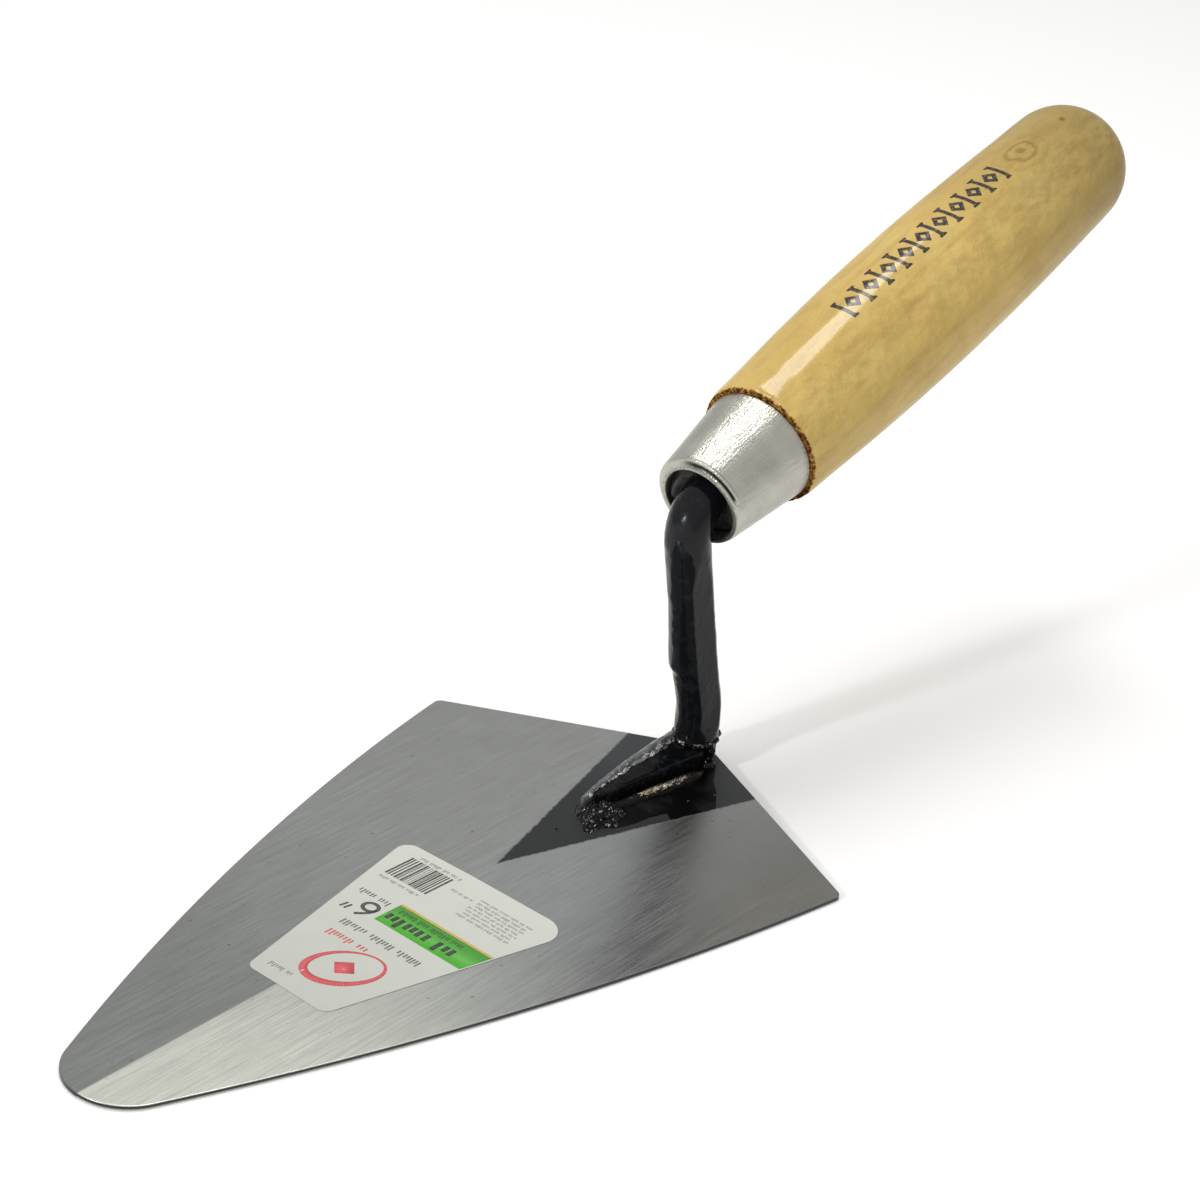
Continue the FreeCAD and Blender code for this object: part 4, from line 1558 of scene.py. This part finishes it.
@dataclass
class Label:
    """The paper sticker and its print, laid out from the middle of its rear edge.

    A place on it is (towards the tip, towards +Y).  The print is generic: bars, bands, upright
    strokes in place of words, an oval ring round a lozenge, and the size figure.
    """

    corners: tuple = ((65.5, -15.0), (111.5, -6.7), (112.3, 10.3), (66.5, 22.1))
    rounds: tuple = (2.4, 1.8, 2.2, 4.4)
    origin: tuple[float, float] = (66.0, 3.55)
    turn: float = math.radians(-2.2)
    thickness: float = 0.11
    ink_lift: float = 0.008
    oval_long: tuple[float, float] = (-4.8, 4.2)        # half axes of the printed ring
    oval_short: tuple[float, float] = (3.1, 3.1)
    mark_middle: tuple[float, float] = (35.1, 1.9)
    lozenge: float = 2.2                # from its middle to a corner

    def place(self, spots: np.ndarray) -> np.ndarray:
        """Turn label places into frame X and Y, in millimetres."""
        cos, sin = math.cos(self.turn), math.sin(self.turn)
        turned = spots @ np.array([[cos, sin], [-sin, cos]])
        return turned + self.origin + HEEL[:2]

    def outline(self) -> tuple[np.ndarray, np.ndarray]:
        """Rounded outline and its normals, anticlockwise, as arcs at the four corners."""
        corners = np.array(self.corners) + HEEL[:2]
        points, normals = [], []
        count = len(corners)
        for k in range(count):
            before, corner, after = corners[k - 1], corners[k], corners[(k + 1) % count]
            back, ahead = unit(before - corner), unit(after - corner)
            half = math.acos(float(back @ ahead)) / 2
            centre = corner + unit(back + ahead) * self.rounds[k] / math.sin(half)
            out_back = np.array([-back[1], back[0]])
            out_ahead = np.array([ahead[1], -ahead[0]])
            begin = math.atan2(out_back[1], out_back[0])
            sweep = (math.atan2(out_ahead[1], out_ahead[0]) - begin) % (2 * math.pi)
            way = circle(begin + np.linspace(0.0, sweep, 20))
            points.append(centre + self.rounds[k] * way)
            normals.append(way)
        line, way = [], []
        for k in range(count):
            line.append(points[k])
            way.append(normals[k])
            share = np.linspace(0.0, 1.0, 40)[1:-1, None]
            line.append(points[k][-1] * (1 - share) + points[(k + 1) % count][0] * share)
            way.append(np.repeat(normals[k][-1:], len(share), 0))
        return np.vstack(line), np.vstack(way)

    def ink(self, name: str, quads: list, blade: Blade, finish: Ink, cuts: int = 1,
            layer: int = 0) -> None:
        """Lay flat printed shapes on the sticker, as one thin piece.

        Args:
            name: the piece's name.
            quads: four label places for each shape, in order round it.
            blade: the plate below, whose facets the print follows.
            finish: the ink.
            cuts: how many cells each shape is cut into along its first side.
            layer: how many other inks it is printed over.
        """
        shapes = np.array(quads, dtype=float)
        share = np.linspace(0.0, 1.0, cuts + 1)
        first = shapes[:, 0, None] + (shapes[:, 1] - shapes[:, 0])[:, None] * share[None, :, None]
        second = shapes[:, 3, None] + (shapes[:, 2] - shapes[:, 3])[:, None] * share[None, :, None]
        spots = np.stack([first, second], axis=2)
        plan = self.place(spots.reshape(-1, 2))
        lift = self.thickness + self.ink_lift * (1 + 3 * layer)
        points = np.column_stack([plan, blade.top(plan[:, 0], plan[:, 1]) + lift])
        index = np.arange(len(points)).reshape(len(shapes), cuts + 1, 2)
        faces = np.stack([index[:, :-1, 0], index[:, 1:, 0], index[:, 1:, 1], index[:, :-1, 1]], -1)
        faces = faces.reshape(-1, 4)
        a, b, c = (points[faces[:, k], :2] for k in range(3))
        turn = np.cross(np.pad(b - a, ((0, 0), (0, 1))), np.pad(c - b, ((0, 0), (0, 1))))[:, 2]
        faces = np.where(turn[:, None] < 0, faces[:, ::-1], faces)
        piece = mesh_piece(name, points, faces.tolist())
        thick = piece.modifiers.new("film", "SOLIDIFY")
        thick.thickness = self.ink_lift * MM
        thick.offset = -1.0
        enlist(piece, Slot.STICKER, finish.material())

    def bar(self, along: float, across: float, tall: float, wide: float) -> list:
        """Rectangle from its corner nearest the heel and -Y, as four label places."""
        return [(along, across), (along, across + wide), (along + tall, across + wide),
                (along + tall, across)]

    def glyphs(self, along: float, start: float, end: float, tall: float, seed: int,
               weight: float = 0.2) -> list:
        """A line of plain upright strokes that stands in for small print.

        Args:
            along: where the line's foot is.
            start: first place across.
            end: last place across.
            tall: height of the strokes.
            seed: picks the spacing.
            weight: thickness of a stroke as a share of its height.

        Returns:
            Quads for the strokes.
        """
        random = np.random.default_rng(seed)
        strokes = []
        across = start
        while across < end:
            word = random.integers(3, 9)
            for _ in range(word):
                height = tall * random.choice([0.62, 0.7, 1.0])
                strokes.append(self.bar(along, across, height, tall * weight))
                across += tall * (weight + random.choice([0.16, 0.24]))
                if across > end:
                    break
            across += tall * 0.5
        return strokes

    def ribbon(self, spine: np.ndarray, wide: np.ndarray | float) -> list:
        """Quads of a band that follows a curve: spine plus and minus half the width.

        Args:
            spine: label places along the curve.
            wide: width of the band, one or one for each place.

        Returns:
            Quads for the band.
        """
        way = np.gradient(spine, axis=0)
        way /= np.linalg.norm(way, axis=1, keepdims=True)
        half = np.broadcast_to(wide, len(spine)) / 2
        side = np.stack([-way[:, 1], way[:, 0]], -1) * half[:, None]
        one, two = spine + side, spine - side
        return np.stack([one[:-1], one[1:], two[1:], two[:-1]], axis=1).tolist()

    def figure_six(self, foot: float, middle: float, tall: float) -> list:
        """The size figure: a bowl and an arm that sweeps up from its side.

        Up is towards the tip and the reading direction is towards -Y.

        Args:
            foot: where the figure's foot is, along the label.
            middle: its middle, across the label.
            tall: its height.

        Returns:
            Quads for the strokes.
        """
        bowl = 0.29 * tall
        turn = np.linspace(0.0, 2 * math.pi, 40)
        ring = np.stack([foot + bowl + bowl * 0.9 * np.sin(turn), middle + bowl * np.cos(turn)], -1)
        rise = np.linspace(0.0, 1.0, 24)
        arm = np.stack([foot + bowl + rise * (tall - bowl) * 0.98,
                        middle + bowl * np.cos(rise * 1.25) - 0.75 * bowl * rise ** 2], -1)
        return self.ribbon(ring, 0.15 * tall) + self.ribbon(arm, 0.14 * tall)

    def dress(self, blade: Blade) -> None:
        """Build the paper and print it."""
        points, normals = self.outline()
        centre = np.array([88.0, 3.0]) + HEEL[:2]
        paper = slab("label_paper", points, normals, centre,
                     lambda x, y: blade.top(x, y) + self.thickness,
                     lambda x, y: blade.top(x, y) - 0.02, 0.04)
        enlist(paper, Slot.STICKER, StickerPaper().material(), "label")
        black = Ink("black_ink", "#3a3b3c")
        red = Ink("red_ink", "#cc4a50")
        band = [(15.5, -5.0), (15.5, 14.9), (21.6, 13.6), (21.6, -5.0)]
        rule = [(15.05, -5.0), (15.05, 15.0), (15.5, 14.9), (15.5, -5.0)]
        lines = self.glyphs(16.2, -12.8, -6.4, 1.5, 12) + self.glyphs(24.9, -8.0, 8.4, 1.6, 13)
        # a piece's name, its shapes, its ink, its cells and how many inks it is printed over
        for name, shapes, finish, cuts, layer in (
                ("label_green_band", [band], Ink("green_ink", "#3a9d0c"), 40, 0),
                ("label_orange_rule", [rule], Ink("orange_ink", "#c9a23a"), 40, 0),
                ("label_band_strokes", self.glyphs(18.3, -4.4, 11.0, 2.8, 3, 0.3),
                 Ink("band_ink", "#1d2a1a"), 1, 1),
                ("label_band_small", self.glyphs(16.3, -3.6, 10.0, 1.2, 4),
                 Ink("band_small_ink", "#2c5a20"), 1, 1),
                ("label_bars", self.bars(), black, 1, 0),
                ("label_small_print", self.small_print(), Ink("grey_ink", "#6c6e6b", 0.9), 1, 0),
                ("label_print_lines", lines, Ink("line_ink", "#56585a", 0.95), 1, 0),
                ("label_size_figure", self.size_figure(), black, 1, 0),
                ("label_mark", self.mark(), red, 1, 0),
                ("label_mark_strokes", self.glyphs(28.6, -7.4, 0.5, 1.7, 15), red, 1, 0)):
            self.ink(name, shapes, blade, finish, cuts, layer)

    def bars(self) -> list:
        """A row of plain bars of random width, across the label's rear end."""
        random = np.random.default_rng(7)
        bars = []
        across = -13.9
        while across < -4.8:
            wide = random.choice([0.14, 0.2, 0.3, 0.42])
            bars.append(self.bar(3.3, across, 6.8, wide))
            across += wide + random.choice([0.14, 0.22, 0.34])
        return bars

    def small_print(self) -> list:
        """Strokes for the lines round the bars, the far line and the block of seven lines."""
        small = self.glyphs(11.0, -13.8, -5.4, 0.75, 8) + self.glyphs(2.1, -12.8, -3.7, 0.8, 9)
        small += self.glyphs(42.2, -6.7, -1.8, 1.1, 10)
        for row in range(7):
            small += self.glyphs(4.2 + row * 0.98, 2.4 + 0.3 * (row % 3), 13.6 - 0.5 * (row % 2),
                                 0.62, 20 + row)
        return small + self.glyphs(5.4, -3.0, 1.6, 0.62, 31)

    def size_figure(self) -> list:
        """The figure with its two inch ticks."""
        ticks = [self.ribbon(np.array([(21.2, start), (22.9, start - 0.3)]), 0.45)
                 for start in (-10.2, -11.1)]
        return self.figure_six(18.2, -7.7, 4.7) + ticks[0] + ticks[1]

    def mark(self) -> list:
        """Generic device: a slanted oval ring, thicker on one side, round a lozenge."""
        middle = np.array(self.mark_middle)
        turn = np.linspace(0.0, 2 * math.pi, 90)[:, None]
        oval = np.cos(turn) * np.array(self.oval_long) + np.sin(turn) * np.array(self.oval_short)
        shapes = self.ribbon(middle + oval, 0.95 + 0.55 * oval[:, 0] / 6.0)
        corners = np.array([(1.0, 0.0), (0.0, 1.0), (-1.0, 0.0), (0.0, -1.0)])
        shapes.append((corners * self.lozenge + middle).tolist())
        return shapes


# ---------------------------------------------------------------------------------- studio

@dataclass
class Studio:
    """Pale floor, soft lights and the camera."""

    eye: tuple[float, float, float] = (391.196, 249.819, 250.121)       # a spot
    right: tuple[float, float, float] = (-0.616767, 0.779843, 0.106973)
    down: tuple[float, float, float] = (0.282163, 0.345907, -0.894837)
    focal: float = 2914.1 / 1200.0 * 36.0

    def camera(self) -> None:
        """Place the camera by its axes."""
        data = bpy.data.cameras.new("camera")
        data.sensor_width = 36.0
        data.lens = self.focal
        data.clip_start = 0.01
        right, down = unit(np.array(self.right)), np.array(self.down)
        down = unit(down - right * (right @ down))
        back = -np.cross(right, down)
        place = (np.array(self.eye) + HEEL) * MM
        turn = Matrix(np.stack([right, -down, back], axis=-1).tolist()).to_4x4()
        eye = bpy.data.objects.new("camera", data)
        eye.matrix_world = Matrix.Translation(Vector(place.tolist())) @ turn
        bpy.context.scene.collection.objects.link(eye)
        bpy.context.scene.camera = eye

    def lamp(self, name: str, azimuth: float, height: float, away: float,
             size: tuple[float, float], power: float) -> None:
        """Soft rectangular light aimed at the tool.

        Args:
            name: the light's name.
            azimuth: degrees from +X towards +Y.
            height: degrees above the floor.
            away: distance in metres.
            size: width and height in metres.
            power: watts.
        """
        data = bpy.data.lights.new(name, "AREA")
        data.shape = "RECTANGLE"
        data.size, data.size_y = size
        data.energy = power
        turn, tilt = math.radians(azimuth), math.radians(height)
        way = Vector((math.cos(turn) * math.cos(tilt), math.sin(turn) * math.cos(tilt),
                      math.sin(tilt)))
        lamp = bpy.data.objects.new(name, data)
        lamp.location = Vector((0.0, 0.0, 0.04)) + way * away
        lamp.rotation_euler = way.to_track_quat("Z", "Y").to_euler()
        lamp.visible_camera = False
        bpy.context.scene.collection.objects.link(lamp)

    def world(self) -> None:
        """White room, a little brighter overhead than at the horizon."""
        g = Graph("room", world=True)
        height = g.add("SeparateXYZ", g.add("TexCoord", output="Generated"), output="Z")
        level = g.add("MapRange", Value=height, To_Min=0.6, To_Max=0.8)
        g.fill(g.tree.nodes["Background"], Strength=level, Color=(1.0, 0.995, 0.985, 1.0))
        bpy.context.scene.world = g.owner

    def floor(self) -> None:
        """Large pale matte floor at the blade's underside."""
        half = 1600.0
        points = np.array([(-half, -half, 0.0), (half, -half, 0.0), (half, half, 0.0),
                           (-half, half, 0.0)])
        floor = mesh_piece("floor", points, [[0, 1, 2, 3]])
        g = Graph("pale_floor")
        floor.data.materials.append(g.finish(Base_Color="#f7f7f7", Roughness=0.9,
                                             Specular_IOR_Level=0.1))

    def build(self) -> None:
        """Set up the whole studio."""
        self.camera()
        self.floor()
        self.world()
        self.lamp("top_softbox", -133.0, 71.5, 0.9, (0.25, 0.46), 3.2)
        self.lamp("front_window", -8.0, 20.0, 1.0, (0.07, 0.1), 3.5)
        bpy.context.scene.view_settings.view_transform = "Standard"


def main() -> None:
    """Build the studio and every sub-assembly."""
    Studio().build()
    blade, ferrule = Blade(), Ferrule()
    blade.dress()
    Foot().dress(blade)
    Shank().dress()
    Welds().dress(blade)
    PaintFilm().dress(blade)
    ferrule.dress()
    Handle().dress(ferrule)
    Cement().dress()
    Label().dress(blade)


if __name__ == "__main__":
    main()
